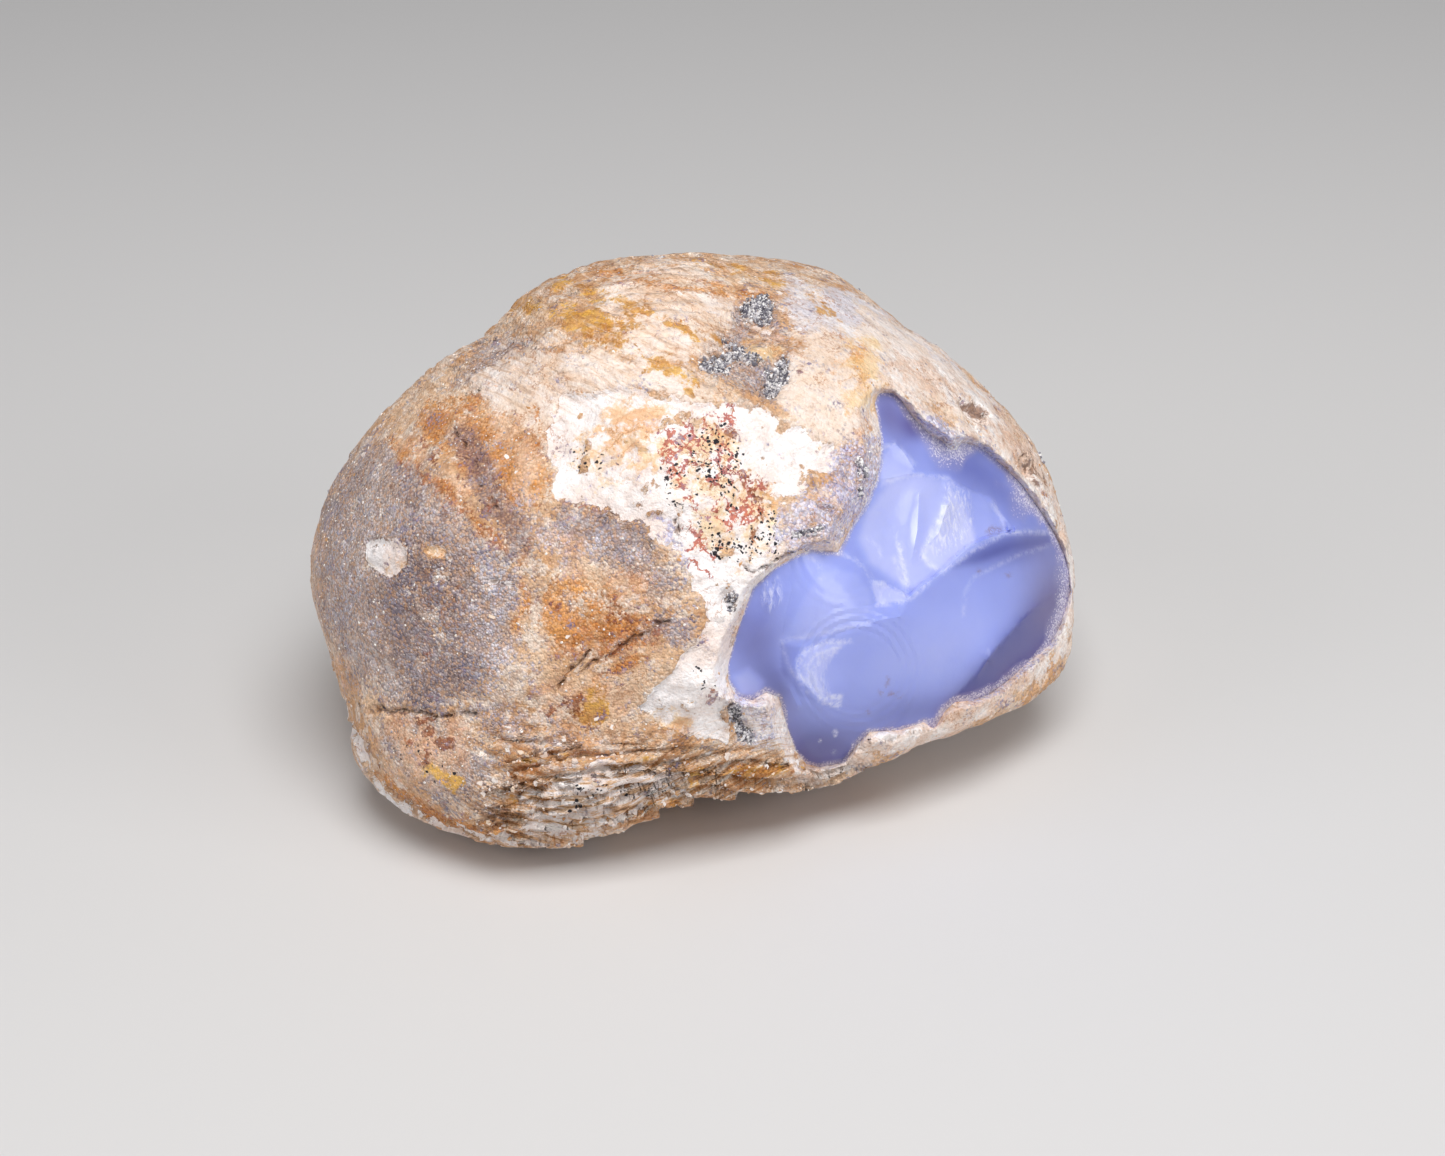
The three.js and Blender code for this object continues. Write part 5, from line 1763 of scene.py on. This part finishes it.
def strew(group, pattern, share, count, sizes, sink, lean):
    """Strews one piece over the stone: its name, tints, roughness and seed are in its group."""
    name, tints, rough, seed = group
    stone = bpy.data.objects["nodule_stone"]
    spots, slopes = spots_on(stone, crystal_shares(stone)[share], count, seed)
    rng = np.random.default_rng(seed + 40)
    widths = sizes[0] + (sizes[1] - sizes[0]) * rng.random(count) ** 2
    piece = scatter(name, pattern, spots, slopes, widths, sink, lean, seed + 80)
    piece.data.materials.append(glassy(name + "_finish", tints, rough))
    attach(piece, "root")


class NODULE_OT_sugar(bpy.types.Operator):
    """Strew the grey and rusty rind with loose sugary grains"""

    bl_idname = "nodule.sugar"
    bl_label = "Sugar grains"

    def execute(self, context):
        look = context.scene.nodule_crystals
        tints = ("#fbf6ef", "#e6d2bd", "#cfa074", "#a9a3ac")
        strew(("sugar_grains", tints, 0.16, 3), sand_grain(), "sugar", look.sugar_count,
              (0.12, look.sugar_size / MM), 0.1, 0.6)
        return {"FINISHED"}


class NODULE_OT_druse(bpy.types.Operator):
    """Grow quartz crystals in the stone's pockets"""

    bl_idname = "nodule.druse"
    bl_label = "Druse crystals"

    def execute(self, context):
        look = context.scene.nodule_crystals
        tints = ("#615e68", "#e4e0e2", "#fbf8f6", "#8e8b94")
        strew(("druse_crystals", tints, 0.18, 4), quartz_point(), "druse", look.druse_count,
              (0.16, look.druse_size / MM), 0.15, 0.4)
        return {"FINISHED"}


class NODULE_OT_chips(bpy.types.Operator):
    """Strew the foot and the chalk's edges with chips of rind"""

    bl_idname = "nodule.chips"
    bl_label = "Rind chips"

    def execute(self, context):
        look = context.scene.nodule_crystals
        tints = ("#fbf3ee", "#e9cfb4", "#c58f55", "#f0e2d8")
        strew(("rind_chips", tints, 0.6, 5), flake(), "chips", look.chip_count,
              (0.25, look.chip_size / MM), 0.12, 0.3)
        return {"FINISHED"}


# Where the lights aim, in m.
LIGHT_AIM = Vector((0.0, 0.0, 0.03))


def soft_light(name, place, size, power):
    """A soft white light: where it stands and its width and height, in m, and its power."""
    light = bpy.data.lights.new(name, "AREA")
    light.shape = "RECTANGLE"
    light.size, light.size_y = size
    light.energy = power
    lamp = bpy.data.objects.new(name, light)
    bpy.context.scene.collection.objects.link(lamp)
    lamp.location = place
    lamp.rotation_euler = (LIGHT_AIM - Vector(place)).to_track_quat("-Z", "Y").to_euler()


class NODULE_OT_stage(bpy.types.Operator):
    """Set out the floor, the lights and the camera"""

    bl_idname = "nodule.stage"
    bl_label = "Stage"

    def execute(self, context):
        look = context.scene.nodule_stage
        pick_none()
        bpy.ops.mesh.primitive_plane_add(size=6.0, location=(0.0, 0.0, 0.0))
        floor = context.object
        floor.name = "floor"
        paper = bare_material("floor_paper")
        surface = add_node(paper, "BsdfPrincipled", {
            "Base Color": opaque(look.floor_colour), "Roughness": 0.9,
        })
        add_node(paper, "OutputMaterial", {"Surface": surface})
        floor.data.materials.append(paper)
        soft_light("main_light", (0.06, -0.26, 0.62), (0.42, 0.36), look.key_power)
        soft_light("left_light", (-1.1, -0.5, 0.57), (0.7, 0.8), look.left_power)
        soft_light("right_light", (1.1, -0.6, 0.47), (0.7, 0.8), look.right_power)
        world = bpy.data.worlds.new("room")
        world.use_nodes = True
        room = world.node_tree.nodes["Background"]
        room.inputs["Color"].default_value = opaque(look.room_colour)
        room.inputs["Strength"].default_value = look.room_light
        context.scene.world = world
        lens = bpy.data.cameras.new("camera")
        lens.lens = LENS_MM
        camera = bpy.data.objects.new("camera", lens)
        context.scene.collection.objects.link(camera)
        camera.location = (SHEET_MIDDLE + CAMERA_DISTANCE * OUT) * MM
        camera.rotation_euler = (math.pi / 2 - LEAN, 0.0, 0.0)
        lens.clip_start = 0.01
        context.scene.camera = camera
        context.scene.view_settings.view_transform = "Standard"
        return {"FINISHED"}


class NODULE_PT_panel(bpy.types.Panel):
    """Buttons that build the nodule, one group at a time"""

    bl_label = "Rough nodule"
    bl_idname = "NODULE_PT_panel"
    bl_space_type = "VIEW_3D"
    bl_region_type = "UI"
    bl_category = "Nodule"

    def draw(self, context):
        column = self.layout.column()
        for name in GROUPS:
            look = getattr(context.scene, name)
            for setting in look.__annotations__:
                column.prop(look, setting)
        for step in STEPS:
            column.operator(step.bl_idname)


GROUPS = {
    "nodule_rind": NoduleRind, "nodule_window": NoduleWindow, "nodule_crystals": NoduleCrystals,
    "nodule_stage": NoduleStage,
}
STEPS = (NODULE_OT_stone, NODULE_OT_sugar, NODULE_OT_druse, NODULE_OT_chips, NODULE_OT_stage)
CLASSES = (*GROUPS.values(), *STEPS, NODULE_PT_panel)


def register():
    for item in CLASSES:
        bpy.utils.register_class(item)
    for name, group in GROUPS.items():
        setattr(bpy.types.Scene, name, bpy.props.PointerProperty(type=group))


def unregister():
    for name in GROUPS:
        delattr(bpy.types.Scene, name)
    for item in reversed(CLASSES):
        bpy.utils.unregister_class(item)


def main():
    register()
    bpy.ops.nodule.stone()
    bpy.ops.nodule.sugar()
    bpy.ops.nodule.druse()
    bpy.ops.nodule.chips()
    bpy.ops.nodule.stage()


if __name__ == "__main__":
    main()
